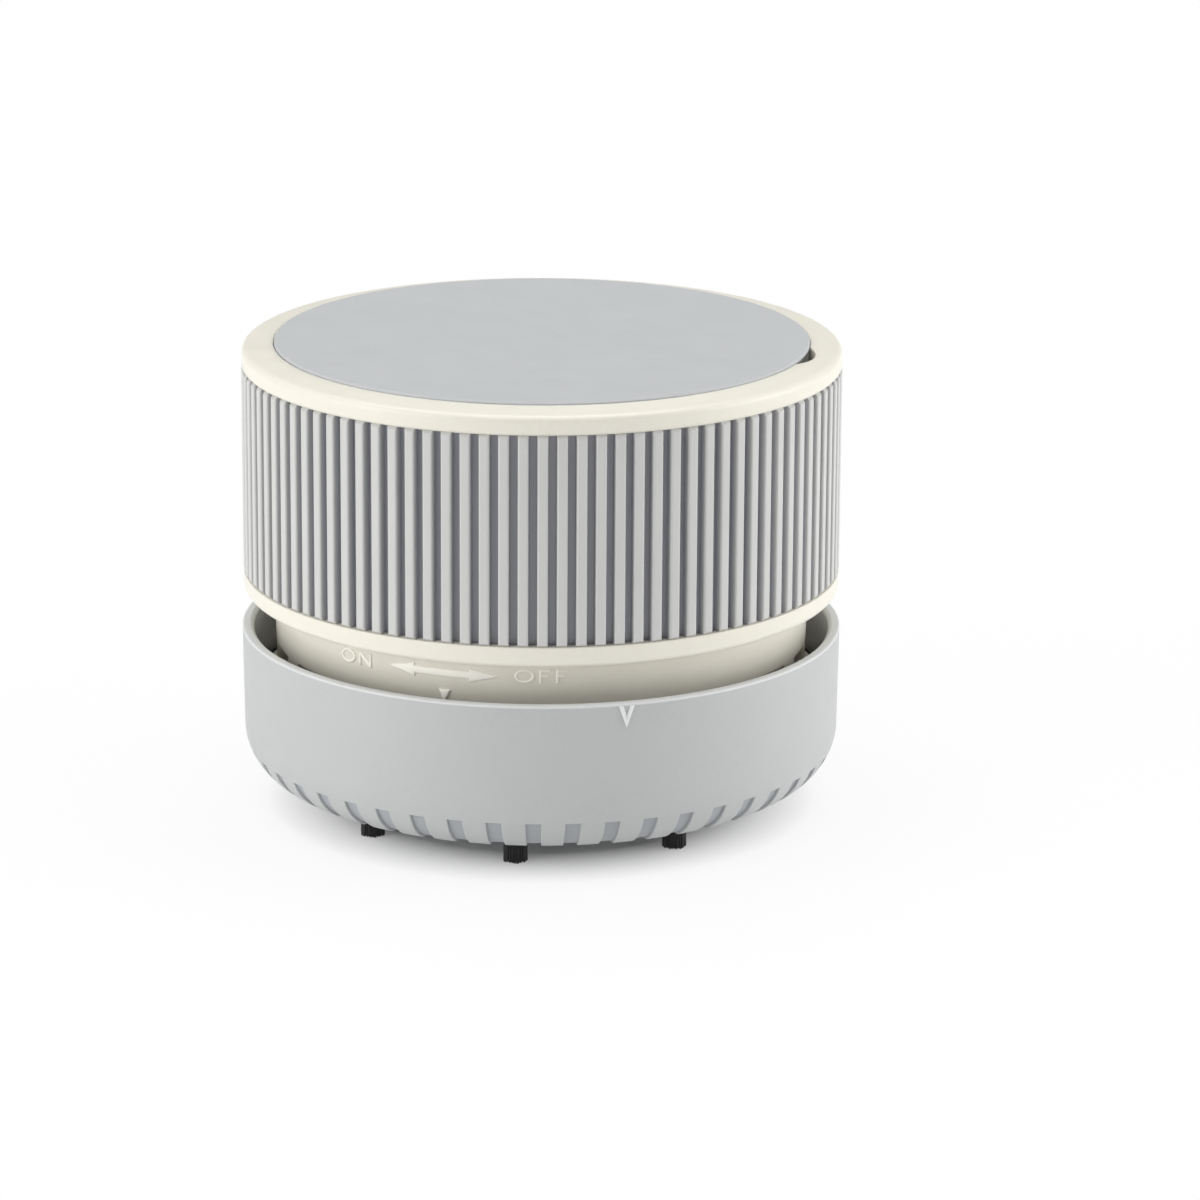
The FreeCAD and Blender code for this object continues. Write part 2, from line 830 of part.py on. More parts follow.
def add_pin_holes(body):
    """Holes in the fan floor for the pins of the two switch pads."""
    sketch = new_sketch(body, "XY_Plane", fan_floor_base)
    for turn in pad_turns():
        ring(sketch, s.pin_radius + s.snug_gap, *spot(pad_circle, turn))
    cut(body, sketch, s.fan_floor_thick + s.cut_overrun, upward=True)


def add_index_mark(body):
    """Small raised triangle low on the neck."""
    sketch = body.newObject("Sketcher::SketchObject", "Sketch")
    plane = [part for part in body.Origin.OriginFeatures if part.Role == "XZ_Plane"][0]
    start = neck_low_radius - s.mark_relief
    turn = s.index_turn
    sketch.AttachmentSupport = (plane, [""])
    sketch.MapMode = "FlatFace"
    rotation = FreeCAD.Rotation(FreeCAD.Vector(0, 1, 0), turn.value)
    sketch.AttachmentOffset = FreeCAD.Placement(FreeCAD.Vector(), rotation)
    across = start * sine(turn)
    out = start * cosine(turn)
    sketch.setExpression("AttachmentOffset.Base.x", across.text)
    sketch.setExpression("AttachmentOffset.Base.z", out.text)
    sketch.setExpression("AttachmentOffset.Rotation.Angle", turn.text + " * 1 deg")
    half = s.index_width / 2
    top = lip_top - s.index_drop
    outline(sketch, [
        (zero - half, top),
        (zero, top - s.index_height),
        (half, top),
    ])
    raised(body, sketch, neck_top_radius - neck_low_radius + s.mark_relief)


def make_grip_shell():
    """Ribbed shell with ears for the case screws and posts for the battery tray."""
    body = new_body("grip_shell")
    turned(body, [
        (shell_bore, lip_top),
        (shell_radius - s.rib_bevel, lip_top),
        (shell_radius, lip_top + s.rib_bevel),
        (shell_radius, shell_top - s.rib_bevel),
        (shell_radius - s.rib_bevel, shell_top),
        (shell_bore, shell_top),
    ])
    add_ears(body)
    add_tray_posts(body)
    half = s.groove_width / 2
    mouth = half + s.rib_round
    floor = shell_radius - s.groove_depth
    turn = s.rib_turn + half_turn / s.rib_count
    far = shell_radius + s.cut_overrun
    sketch = new_sketch(body, "XY_Plane", lip_top)
    outline(sketch, [
        spot(floor, turn, zero - half),
        spot(shell_radius - s.rib_round, turn, zero - half) + (s.rib_round, "right"),
        spot(shell_radius, turn, zero - mouth),
        spot(far, turn, zero - mouth),
        spot(far, turn, mouth),
        spot(shell_radius, turn, mouth) + (s.rib_round, "right"),
        spot(shell_radius - s.rib_round, turn, half),
        spot(floor, turn, half),
    ])
    groove = cut(body, sketch, shell_height, upward=True)
    around(body, [groove], s.rib_count)


def add_ears(body):
    """Ears at the foot of the shell that the case screws hold down."""
    sketch = new_sketch(body, "XY_Plane", lip_top)
    inner = screw_circle - s.ear_width / 2
    bar(sketch, inner, shell_bore + s.snug_gap, half_turn, s.ear_width)
    ring(sketch, s.screw_radius + s.snug_gap, *spot(screw_circle, half_turn))
    ear = raised(body, sketch, s.ear_thick)
    around(body, [ear], s.case_screw_count)


def add_tray_posts(body):
    """Posts high on the wall of the shell, each with a web to the wall."""
    turn = half_turn / s.tray_screw_count
    low = deck_base - s.tray_post_length
    sketch = new_sketch(body, "XY_Plane", low)
    bar(sketch, screw_circle, shell_bore + s.snug_gap, turn, s.post_radius)
    web = raised(body, sketch, shell_top - s.cap_skirt_depth - s.snug_gap - low)
    sketch = new_sketch(body, "XY_Plane", low)
    ring(sketch, s.post_radius, *spot(screw_circle, turn))
    post = raised(body, sketch, s.tray_post_length)
    around(body, [web, post], s.tray_screw_count)
    sketch = new_sketch(body, "XY_Plane", deck_base)
    ring(sketch, s.screw_pilot, *spot(screw_circle, turn))
    pilot = cut(body, sketch, s.screw_bite + s.snug_gap)
    around(body, [pilot], s.tray_screw_count)


def make_top_ring():
    """Ivory ring above the ribs, with a ledge for the lid, a skirt and the finger scoop."""
    body = new_body("top_ring")
    turned(body, [
        (skirt_inner, shell_top - s.cap_skirt_depth),
        (skirt_outer, shell_top - s.cap_skirt_depth),
        (skirt_outer, shell_top),
        (lip_radius, shell_top),
        (lip_radius, shell_top + s.cap_side, s.cap_round, "left"),
        (lip_radius - s.cap_round, cap_top - s.cap_fall),
        (cap_bore, cap_top),
        (cap_bore, cap_ledge_top),
        (cap_ledge_bore, cap_ledge_top),
        (cap_ledge_bore, shell_top),
        (skirt_inner, shell_top),
    ])
    half = s.scoop_chord / 2
    radius = (half * half + s.scoop_depth * s.scoop_depth) / (s.scoop_depth * 2)
    centre = cap_bore + s.scoop_depth - radius
    sketch = new_sketch(body, "XY_Plane", shell_top)
    ring(sketch, radius, *spot(centre, s.scoop_turn))
    cut(body, sketch, s.cap_height, upward=True)


def make_top_lid():
    """Disc lid over the batteries, with a bevelled edge, a rim below and snap lugs."""
    body = new_body("top_lid")
    turned(body, [
        (zero, lid_plate_base),
        (lid_radius - s.lid_wall, lid_plate_base),
        (lid_radius - s.lid_wall, lid_base),
        (lid_radius, lid_base),
        (lid_radius, lid_top - s.lid_bevel),
        (lid_radius - s.lid_bevel, lid_top),
        (zero, lid_top),
    ])
    outer = cap_ledge_bore - s.turn_gap
    sketch = new_sketch(body, "XY_Plane", lid_plate_base - s.lug_length)
    sector(sketch, outer - s.lug_wall, outer, zero, sweep_of(s.lug_width, outer))
    lug = raised(body, sketch, s.lug_length)
    around(body, [lug], s.lug_count)


def make_motor_plate():
    """Plate that closes the fan chamber and carries the motor."""
    body = new_body("motor_plate")
    sketch = new_sketch(body, "XY_Plane", plate_base)
    ring(sketch, plate_radius)
    ring(sketch, s.motor_nose_radius + s.snug_gap)
    raised(body, sketch, s.plate_thick)
    sketch = new_sketch(body, "XY_Plane", lip_top)
    ring(sketch, s.screw_radius + s.snug_gap, *spot(screw_circle, half_turn))
    hole = cut(body, sketch, s.plate_thick)
    around(body, [hole], s.case_screw_count)
    sketch = new_sketch(body, "XY_Plane", lip_top)
    for turn in (zero, half_turn):
        ring(sketch, s.motor_screw_radius + s.snug_gap, *spot(s.motor_screw_circle, turn))
    cut(body, sketch, s.plate_thick)
    sketch = new_sketch(body, "XY_Plane", lip_top)
    bar(sketch, pad_circle - s.pad_width, plate_radius + s.cut_overrun, s.pad_turn, s.pad_length * 2)
    cut(body, sketch, s.plate_thick)


def make_motor_can():
    """Steel can of the motor, open at the top, with its bearing nose in the plate."""
    body = new_body("motor_can")
    turned(body, [
        (s.shaft_radius + s.shaft_gap, lip_top - s.motor_nose_length),
        (s.motor_nose_radius, lip_top - s.motor_nose_length),
        (s.motor_nose_radius, lip_top),
        (s.motor_radius, lip_top),
        (s.motor_radius, motor_top),
        (magnet_outer, motor_top),
        (magnet_outer, lip_top + s.motor_wall),
        (s.shaft_radius + s.shaft_gap, lip_top + s.motor_wall),
    ])
    sketch = new_sketch(body, "XY_Plane", lip_top)
    for turn in (zero, half_turn):
        ring(sketch, s.motor_screw_radius, *spot(s.motor_screw_circle, turn))
    cut(body, sketch, s.motor_wall, upward=True)


def make_motor_end_cap():
    """Moulded cap in the mouth of the can, with the upper bearing."""
    body = new_body("motor_end_cap")
    turned(body, [
        (s.shaft_radius + s.shaft_gap, cap_of_motor_base),
        (magnet_outer, cap_of_motor_base),
        (magnet_outer, cap_of_motor_top),
        (s.shaft_radius + s.shaft_gap, cap_of_motor_top),
    ])


def make_motor_magnets():
    """Two curved magnets on the wall of the can."""
    body = new_body("motor_magnets")
    body.AllowCompound = True
    span = half_turn - sweep_of(s.magnet_gap, magnet_inner)
    sketch = new_sketch(body, "XY_Plane", lip_top + s.motor_wall + s.magnet_lift)
    sector(sketch, magnet_inner, magnet_outer, zero, span)
    magnet = raised(body, sketch, s.magnet_height)
    around(body, [magnet], pair)


def make_motor_terminals():
    """Two flat tabs on the end cap, bent outwards."""
    body = new_body("motor_terminals")
    body.AllowCompound = True
    sketch = new_sketch(body, "XY_Plane", cap_of_motor_top)
    for turn in (zero, half_turn):
        bar(sketch, s.terminal_start, s.terminal_start + s.terminal_length, turn, s.terminal_width)
    raised(body, sketch, s.terminal_thick)


def make_motor_shaft():
    """Steel shaft through the motor and the fan."""
    body = new_body("motor_shaft")
    sketch = new_sketch(body, "XY_Plane", fan_base)
    ring(sketch, s.shaft_radius)
    raised(body, sketch, cap_of_motor_top - fan_base)


def make_armature():
    """Three-pole core on the shaft, with slots for its windings."""
    body = new_body("armature")
    core_base = lip_top + s.motor_wall + s.armature_lift
    sketch = new_sketch(body, "XY_Plane", core_base)
    ring(sketch, armature_radius)
    ring(sketch, s.shaft_radius)
    raised(body, sketch, s.armature_height)
    sketch = new_sketch(body, "XY_Plane", core_base)
    bar(sketch, armature_radius - s.pole_depth, armature_radius + s.cut_overrun, zero, s.armature_slot)
    slot = cut(body, sketch, s.armature_height, upward=True)
    around(body, [slot], s.pole_count)


def make_commutator():
    """Copper drum on the shaft, above the core."""
    body = new_body("commutator")
    core_top = lip_top + s.motor_wall + s.armature_lift + s.armature_height
    sketch = new_sketch(body, "XY_Plane", core_top)
    ring(sketch, s.commutator_radius)
    ring(sketch, s.shaft_radius)
    raised(body, sketch, s.commutator_height)


def make_impeller():
    """Fan with curved blades below its disc."""
    body = new_body("impeller")
    sketch = new_sketch(body, "XY_Plane", fan_disc_base)
    ring(sketch, fan_radius)
    ring(sketch, s.shaft_radius)
    raised(body, sketch, s.fan_disc_thick)
    sketch = new_sketch(body, "XY_Plane", fan_base)
    ring(sketch, s.fan_hub_radius)
    ring(sketch, s.shaft_radius)
    raised(body, sketch, s.blade_height)
    inner = s.blade_inner
    outer = fan_radius - s.blade_thick
    start_low = spot(inner, zero)
    start_high = spot(inner + s.blade_thick, zero)
    end_low = spot(outer, s.blade_sweep)
    end_high = spot(outer + s.blade_thick, s.blade_sweep)
    sketch = new_sketch(body, "XY_Plane", fan_base)
    outline(sketch, [
        start_low,
        start_high + (s.blade_bow, "left"),
        end_high,
        end_low + (s.blade_bow, "right"),
    ])
    blade = raised(body, sketch, s.blade_height)
    around(body, [blade], s.blade_count)


def make_screws(name, circle, turn, count, top, grip, radius, head_radius):
    """Round screws with a slotted head, standing on their heads' seats."""
    body = new_body(name)
    body.AllowCompound = True
    sketch = new_sketch(body, "XY_Plane", top)
    ring(sketch, head_radius, *spot(circle, turn))
    head = raised(body, sketch, s.screw_head_thick)
    sketch = new_sketch(body, "XY_Plane", top - grip)
    ring(sketch, radius, *spot(circle, turn))
    shank = raised(body, sketch, grip)
    sketch = new_sketch(body, "XY_Plane", top + s.screw_head_thick)
    reach = head_radius + s.cut_overrun
    bar(sketch, circle - reach, circle + reach, turn, s.screw_slot)
    slot = cut(body, sketch, s.screw_head_thick / 2)
    around(body, [head, shank, slot], count)


def make_motor_screws():
    """Two screws from below the plate into the floor of the can."""
    body = new_body("motor_screws")
    body.AllowCompound = True
    sketch = new_sketch(body, "XY_Plane", plate_base - s.screw_head_thick / 2)
    ring(sketch, s.motor_screw_head, *spot(s.motor_screw_circle, zero))
    head = raised(body, sketch, s.screw_head_thick / 2)
    sketch = new_sketch(body, "XY_Plane", plate_base)
    ring(sketch, s.motor_screw_radius, *spot(s.motor_screw_circle, zero))
    shank = raised(body, sketch, s.plate_thick + s.motor_wall)
    around(body, [head, shank], pair)


def make_battery_tray():
    """Tray with a deck round its rim, held to the shell by four screws."""
    body = new_body("battery_tray")
    turn = half_turn / s.tray_screw_count
    outer_x = tray_half_length + s.tray_wall
    outer_y = tray_half_width + s.tray_wall
    sketch = new_sketch(body, "XY_Plane", deck_base)
    ring(sketch, deck_radius)
    raised(body, sketch, s.deck_thick)
    sketch = new_sketch(body, "XY_Plane", tray_floor_base)
    rectangle(sketch, zero - outer_x, outer_x, zero - outer_y, outer_y)
    raised(body, sketch, deck_base - tray_floor_base)
    sketch = new_sketch(body, "XY_Plane", shell_top)
    rectangle(sketch, zero - tray_half_length, tray_half_length, zero - tray_half_width, tray_half_width)
    cut(body, sketch, shell_top - tray_floor_top)
    half = s.tray_divider / 2
    sketch = new_sketch(body, "XY_Plane", tray_floor_top)
    rectangle(sketch, zero - s.cell_length / 2, s.cell_length / 2, zero - half, half)
    raised(body, sketch, s.tray_divider_height)
    sketch = new_sketch(body, "XY_Plane", shell_top)
    ring(sketch, s.screw_radius + s.snug_gap, *spot(screw_circle, turn))
    hole = cut(body, sketch, s.deck_thick)
    around(body, [hole], s.tray_screw_count)
    add_lead_holes(body)


def add_lead_holes(body):
    """Holes low in the end wall where the leads reach the contacts."""
    sketch = new_sketch(body, "YZ_Plane", zero - tray_half_length)
    hole = s.lead_radius + s.snug_gap
    for side in (-1, 1):
        ring(sketch, hole, s.cell_spacing / 2 * side, cell_axis - s.contact_height / 4)
    cut(body, sketch, s.tray_wall + s.cut_overrun)


def make_battery(name, side):
    """AA cell along X with its nub at one end, the front one's towards +X."""
    body = new_body(name)
    plate_face = tray_half_length - s.contact_thick
    nub_end = plate_face * side
    face = nub_end - s.cell_nub_length * side
    back = face - s.cell_length * side
    low, high = (back, face) if side > 0 else (face, back)
    centre = (s.cell_spacing / 2 * (-side), cell_axis)
    sketch = new_sketch(body, "YZ_Plane", low)
    ring(sketch, s.cell_radius, *centre)
    raised(body, sketch, high - low)
    low, high = (face, nub_end) if side > 0 else (nub_end, face)
    sketch = new_sketch(body, "YZ_Plane", low)
    ring(sketch, s.cell_nub_radius, *centre)
    raised(body, sketch, high - low)


def make_link_plate():
    """Plate at the right end that joins the two cells."""
    body = new_body("link_plate")
    half = s.cell_spacing / 2 + s.contact_width / 2
    high = s.contact_height / 2
    sketch = new_sketch(body, "YZ_Plane", tray_half_length - s.contact_thick)
    rectangle(sketch, zero - half, half, cell_axis - high, cell_axis + high)
    raised(body, sketch, s.contact_thick)


def make_end_plates():
    """Two plates at the left end, one for each cell."""
    body = new_body("end_plates")
    body.AllowCompound = True
    half = s.contact_width / 2
    high = s.contact_height / 2
    sketch = new_sketch(body, "YZ_Plane", zero - tray_half_length)
    for side in (-1, 1):
        middle = s.cell_spacing / 2 * side
        rectangle(sketch, middle - half, middle + half, cell_axis - high, cell_axis + high)
    raised(body, sketch, s.contact_thick)


def coil_point(share, rise):
    """Point of the conical coil at a share of its height."""
    radius = s.spring_radius.value + (s.spring_tip_radius.value - s.spring_radius.value) * share
    turn = 2 * math.pi * s.spring_turns.value * share
    return FreeCAD.Vector(radius * math.cos(turn), radius * math.sin(turn), rise * share)


def make_contact_springs():
    """Conical springs at the flat ends of the cells, each a round wire along quarter turns."""
    rise = s.spring_length.value - s.spring_wire.value * 2
    quarters = 4 * int(s.spring_turns.value)
    edges = []
    for quarter in range(quarters):
        ends = [coil_point((quarter + part) / quarters, rise) for part in (0, 0.5, 1)]
        edges.append(Part.Arc(*ends).toShape())
    path = Part.Wire(edges)
    heading = edges[0].tangentAt(edges[0].FirstParameter)
    section = Part.Wire(Part.makeCircle(s.spring_wire.value, coil_point(0, rise), heading))
    coil = path.makePipeShell([section], True, False)
    plate_face = tray_half_length - s.contact_thick - s.spring_wire
    springs = []
    for side in (-1, 1):
        foot = FreeCAD.Vector(plate_face.value * side, s.cell_spacing.value / 2 * side, cell_axis.value)
        facing = FreeCAD.Rotation(FreeCAD.Vector(0, 0, 1), FreeCAD.Vector(-side, 0, 0))
        spring = coil.copy()
        spring.Placement = FreeCAD.Placement(foot, facing)
        springs.append(spring)
    feature = doc.addObject("Part::Feature", "contact_springs")
    feature.Label = "contact_springs"
    feature.Shape = Part.makeCompound(springs)
    feature.Placement = FreeCAD.Placement()
    kept["contact_springs"] = feature


def pad_turns():
    """Turns of the two switch pads, either side of the split between them."""
    apart = sweep_of(s.pad_length / 2 + s.pad_split / 2, pad_circle)
    return (s.pad_turn - apart, s.pad_turn + apart)


def make_switch_pads():
    """Two brass pads under the fan floor, each with a pin up through it."""
    body = new_body("switch_pads")
    body.AllowCompound = True
    half = s.pad_width / 2
    for turn in pad_turns():
        sketch = new_sketch(body, "XY_Plane", fan_floor_base - s.pad_thick)
        bar(sketch, pad_circle - half, pad_circle + half, turn, s.pad_length)
        raised(body, sketch, s.pad_thick)
        sketch = new_sketch(body, "XY_Plane", fan_floor_base - s.pad_thick)
        ring(sketch, s.pin_radius, *spot(pad_circle, turn))
        raised(body, sketch, s.pad_thick + s.pin_length)


def make_switch_wiper():
    """Bent brass leaf on the frame that bridges the pads once the head is turned to ON."""
    body = new_body("switch_wiper")
    turn = s.pad_turn + s.twist_range
    reach = fan_floor_base - s.pad_thick - s.seat_gap
    half_arch = s.wiper_arch / 2
    end = half_arch + s.wiper_foot
    thick = s.wiper_thick
    sketch = new_sketch(body, "XZ_Plane", pad_circle - s.wiper_width / 2)
    outline(sketch, [
        (zero - end, frame_top),
        (zero - half_arch, frame_top),
        (thick - half_arch, reach - thick),
        (half_arch - thick, reach - thick),
        (half_arch, frame_top),
        (end, frame_top),
        (end, frame_top + thick),
        (half_arch + thick, frame_top + thick),
        (half_arch, reach),
        (zero - half_arch, reach),
        (zero - half_arch - thick, frame_top + thick),
        (zero - end, frame_top + thick),
    ])
    raised(body, sketch, s.wiper_width)
    body.Placement = FreeCAD.Placement(FreeCAD.Vector(), FreeCAD.Rotation(FreeCAD.Vector(0, 0, 1), 1))
    body.setExpression("Placement.Rotation.Angle", turn.text + " * 1 deg")


def make_lead(name, corners, section_radius):
    """Round lead along straight runs joined by tangent arcs."""
    points = [FreeCAD.Vector(*[part.value for part in corner]) for corner in corners]
    edges = []
    start = points[0]
    for before, corner, after in zip(points, points[1:], points[2:]):
        back = (before - corner).normalize()
        ahead = (after - corner).normalize()
        half_turn = (math.pi - back.getAngle(ahead)) / 2
        reach = s.lead_bend.value * math.tan(half_turn)
        leave = corner + back * reach
        enter = corner + ahead * reach
        inward = (back + ahead).normalize()
        away = s.lead_bend.value * (1 / math.cos(half_turn) - 1)
        middle = corner + inward * away
        edges.append(Part.LineSegment(start, leave).toShape())
        edges.append(Part.Arc(leave, middle, enter).toShape())
        start = enter
    edges.append(Part.LineSegment(start, points[-1]).toShape())
    path = Part.Wire(edges)
    heading = points[1] - points[0]
    section = Part.Wire(Part.makeCircle(section_radius.value, points[0], heading))
    feature = doc.addObject("Part::Feature", name)
    feature.Label = name
    feature.Shape = path.makePipeShell([section], True, False)
    feature.Placement = FreeCAD.Placement()
    kept[name] = feature
    expected = math.pi * section_radius.value ** 2 * path.Length
    print(name, "length", round(path.Length, 1), "volume share", round(feature.Shape.Volume / expected, 4))


def make_leads():
    """Leads from the cells to the switch and the motor, in the space left of the tray."""
    low_turn, high_turn = pad_turns()
    pin_top = fan_floor_base + s.pin_length
    outer_x = zero - tray_half_length - s.tray_wall
    lane = outer_x - s.lead_lane
    contact_height = cell_axis - s.contact_height / 4
    plate_x = zero - tray_half_length
    above_plate = lip_top + s.lead_rise
    terminal_height = cap_of_motor_top - s.lead_radius
    terminal_reach = s.terminal_start + s.terminal_length - s.terminal_width / 2
    front = spot(pad_circle, high_turn)
    rear = spot(pad_circle, low_turn)
    make_lead("wire_supply", [
        (plate_x, s.cell_spacing / 2, contact_height),
        (lane, s.cell_spacing / 2, contact_height),
        (lane, s.cell_spacing / 2, above_plate),
        (rear[0], rear[1], above_plate),
        (rear[0], rear[1], pin_top),
    ], s.lead_radius)
    make_lead("wire_motor", [
        (front[0], front[1], pin_top),
        (front[0], front[1], above_plate),
        (front[0] + s.motor_radius / 2, s.motor_radius + s.lead_bend * 2, above_plate),
        (zero, terminal_reach, above_plate),
        (zero, terminal_reach, cap_of_motor_top),
    ], s.lead_radius)
    make_lead("wire_return", [
        (plate_x, zero - s.cell_spacing / 2, contact_height),
        (lane, zero - s.cell_spacing / 2, contact_height),
        (lane, zero - s.cell_spacing / 2, above_plate),
        (zero, zero - terminal_reach, above_plate),
        (zero, zero - terminal_reach, cap_of_motor_top),
    ], s.lead_radius)


def check_document():
    """Stop if anything in the document failed, or if a feature added or cut nothing."""
    for item in doc.Objects:
        if "Invalid" in item.State or "Error" in item.State:
            raise RuntimeError("failed: " + item.Name + " " + item.Label)
    for feature, direction in measured_features:
        base = feature.BaseFeature
        before = base.Shape.Volume if base is not None else 0.0
        if (feature.Shape.Volume - before) * direction <= 0:
            raise RuntimeError("changes nothing: " + feature.Name)
    for name, item in kept.items():
        if item.Shape.isNull() or not item.Shape.isValid():
            raise RuntimeError("bad shape: " + name)


def write_parts():
    os.makedirs("parts", exist_ok=True)
    for name, item in kept.items():
        item.Shape.exportStep("parts/" + name + ".step")
        print(name, len(item.Shape.Solids), "solids", round(item.Shape.Volume, 2), "cubic mm")


make_dust_bowl()
make_inlet_tube()
make_brush_ring()
make_brush_tufts()
make_filter_frame()
make_filter_cloth()
make_seal_ring()
make_neck_housing()
make_grip_shell()
make_top_ring()
make_top_lid()
make_motor_plate()
make_motor_can()
make_motor_end_cap()
make_motor_magnets()
make_motor_terminals()
make_motor_shaft()
make_armature()
make_commutator()
make_impeller()
make_motor_screws()
make_screws(
    "case_screws", screw_circle, half_turn, s.case_screw_count, lip_top + s.ear_thick,
    s.ear_thick + s.plate_thick + s.screw_bite, s.screw_pilot, s.screw_head_radius,
)
make_screws(
    "tray_screws", screw_circle, half_turn / s.tray_screw_count, s.tray_screw_count, shell_top,
    s.deck_thick + s.screw_bite, s.screw_pilot, s.screw_head_radius,
)
make_battery_tray()
make_battery("battery_front", 1)
make_battery("battery_rear", -1)
make_link_plate()
make_end_plates()
make_contact_springs()
make_switch_pads()
make_switch_wiper()
make_leads()
doc.recompute()
check_document()
write_parts()
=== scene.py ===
import json
import math
import random

import bmesh
import bpy
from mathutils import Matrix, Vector


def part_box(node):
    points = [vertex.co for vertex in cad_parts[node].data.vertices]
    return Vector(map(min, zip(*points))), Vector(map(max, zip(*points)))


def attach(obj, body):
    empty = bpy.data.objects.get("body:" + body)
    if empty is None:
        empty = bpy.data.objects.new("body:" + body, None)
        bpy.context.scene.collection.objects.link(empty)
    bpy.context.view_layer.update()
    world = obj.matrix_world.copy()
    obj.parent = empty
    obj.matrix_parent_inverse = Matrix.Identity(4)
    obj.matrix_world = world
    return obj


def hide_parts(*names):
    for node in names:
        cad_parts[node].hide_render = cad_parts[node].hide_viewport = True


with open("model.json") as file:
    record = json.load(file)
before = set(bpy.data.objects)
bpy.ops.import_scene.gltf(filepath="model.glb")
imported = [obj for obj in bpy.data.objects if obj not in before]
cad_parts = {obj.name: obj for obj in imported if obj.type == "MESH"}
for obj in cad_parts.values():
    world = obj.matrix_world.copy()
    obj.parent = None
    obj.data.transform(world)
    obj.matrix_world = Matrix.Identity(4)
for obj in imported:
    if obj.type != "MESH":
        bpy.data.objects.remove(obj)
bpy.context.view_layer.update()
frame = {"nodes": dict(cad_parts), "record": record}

mm = 0.001
turn_of_circle = 2 * math.pi

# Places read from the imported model
bowl_low, bowl_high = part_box("dust_bowl")
shell_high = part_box("grip_shell")[1]
ring_low, ring_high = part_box("top_ring")
lid_low, lid_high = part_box("top_lid")
neck_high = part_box("neck_housing")[1]
tuft_low, tuft_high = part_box("brush_tufts")
brush_low, brush_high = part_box("brush_ring")
tray_low, tray_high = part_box("battery_tray")


def radii_below(node, height):
    """Distances of a node's corners from the vertical axis, up to a height."""
    corners = [corner.co for corner in frame["nodes"][node].data.vertices]
    return [math.hypot(corner.x, corner.y) for corner in corners if corner.z < height]


def near_radius(node, height):
    return min(radii_below(node, height))


def far_radius(node, height):
    return max(radii_below(node, height))


face_margin = 1.0 * mm
brush_bore = near_radius("brush_ring", brush_high.z + face_margin)
skirt_bore = near_radius("top_ring", shell_high.z - face_margin)

# Meshes
weld_distance = 0.0001 * mm
crease_turn = 32

# Dust bowl
notch_count = 48
notch_turn = -1.35
notch_width = 2.05 * mm
notch_depth = 0.36 * mm
notch_rise = 4.2 * mm
notch_edge = 0.10 * mm
bowl_wall = 1.4 * mm
bowl_draft = 0.2 * mm
bowl_foot = 4.4 * mm
bowl_bend = 6.76 * mm
rim_round = 0.3 * mm
rim_bevel = 0.5 * mm
floor_thick = 2.6 * mm
foot_width = 1.6 * mm
ledge_rise = 8.36 * mm
ledge_reach = 2.0 * mm
ledge_thick = 1.0 * mm
snug_gap = 0.1 * mm

# Side of a notch: share of its half width, share of its edge and share of its depth
notch_side_shares = (
    (1.0, 1.0, 0.0),
    (1.0, 0.4, 0.12),
    (1.0, 0.0, 0.9),
    (1.0, -0.3, 1.0),
    (1 / 3, 0.0, 1.0),
)

# Marks raised from round walls
relief_step = 0.35 * mm
relief_sink = 0.25 * mm
rim_angle = 0.5
mark_turn = 15.9
mark_width = 2.1 * mm
mark_height = 3.0 * mm
mark_stroke = 0.56 * mm
mark_sunk = 0.04 * mm
mark_lift = 0.26 * mm
mark_bevel = 0.16 * mm
index_turn = -20.3
index_width = 1.6 * mm
index_height = 1.8 * mm
index_top = 25.55 * mm
index_lift = 0.22 * mm
index_bevel = 0.17 * mm

# Words and double arrow on the neck
neck_radius = 36.47 * mm
letter_height = 1.95 * mm
letter_stroke = 0.37 * mm
slant_share = 1.35
notch_of_n_share = 1.2
round_width = 2.66 * mm
straight_width = 1.6 * mm
wide_width = 2.2 * mm
word_gap = 0.6 * mm
word_lift = 0.20 * mm
word_bevel = 0.165 * mm
on_turn = -46.4
on_low = 26.85 * mm
off_turn = -5.5
off_low = 27.1 * mm
arrow_turns = (-33.7, -27.0, -15.0, -8.3)
arrow_middle = 27.85 * mm
arrow_head = 1.0 * mm
arrow_bar = 0.53 * mm
arrow_bevel = 0.19 * mm

# Top ring
cap_side = 1.8 * mm
cap_round = 0.95 * mm
cap_fall = 0.45 * mm
cap_ledge_thick = 1.0 * mm
cap_ledge_lap = 2.0 * mm
cap_skirt = 1.4 * mm
scoop_turn = 76.0
scoop_chord = 8.8 * mm
scoop_depth = 1.2 * mm
edge_soft = 0.10 * mm
ring_edge = 0.25 * mm
seam_step = 0.05 * mm
slope_shares = (0.33, 0.66)

# Lid
lid_gap = 0.1 * mm
lid_bevel = 0.25 * mm
lid_wall = 1.2 * mm
lid_thick = 1.5 * mm
lid_pole = 0.02 * mm
finger_half_turn = 6.8
finger_depth = 1.0 * mm
finger_roof = 0.45 * mm
lug_count = 4
lug_gap = 0.2 * mm
lug_wall = 0.9 * mm
lug_length = 8.0 * mm

# Bristles
tuft_count = 8
tuft_turn = -6.6
tuft_circle = 29.0 * mm
tuft_radius = 1.75 * mm
bristle_radius = 0.11 * mm
bristle_flare = 0.12 * mm
bristle_sink = 0.05 * mm
bristle_straight = 1.2 * mm
bristle_uneven = 0.25 * mm
bristle_spacing_share = 1.9
hexagon_share = 0.866
bristle_sides = 6

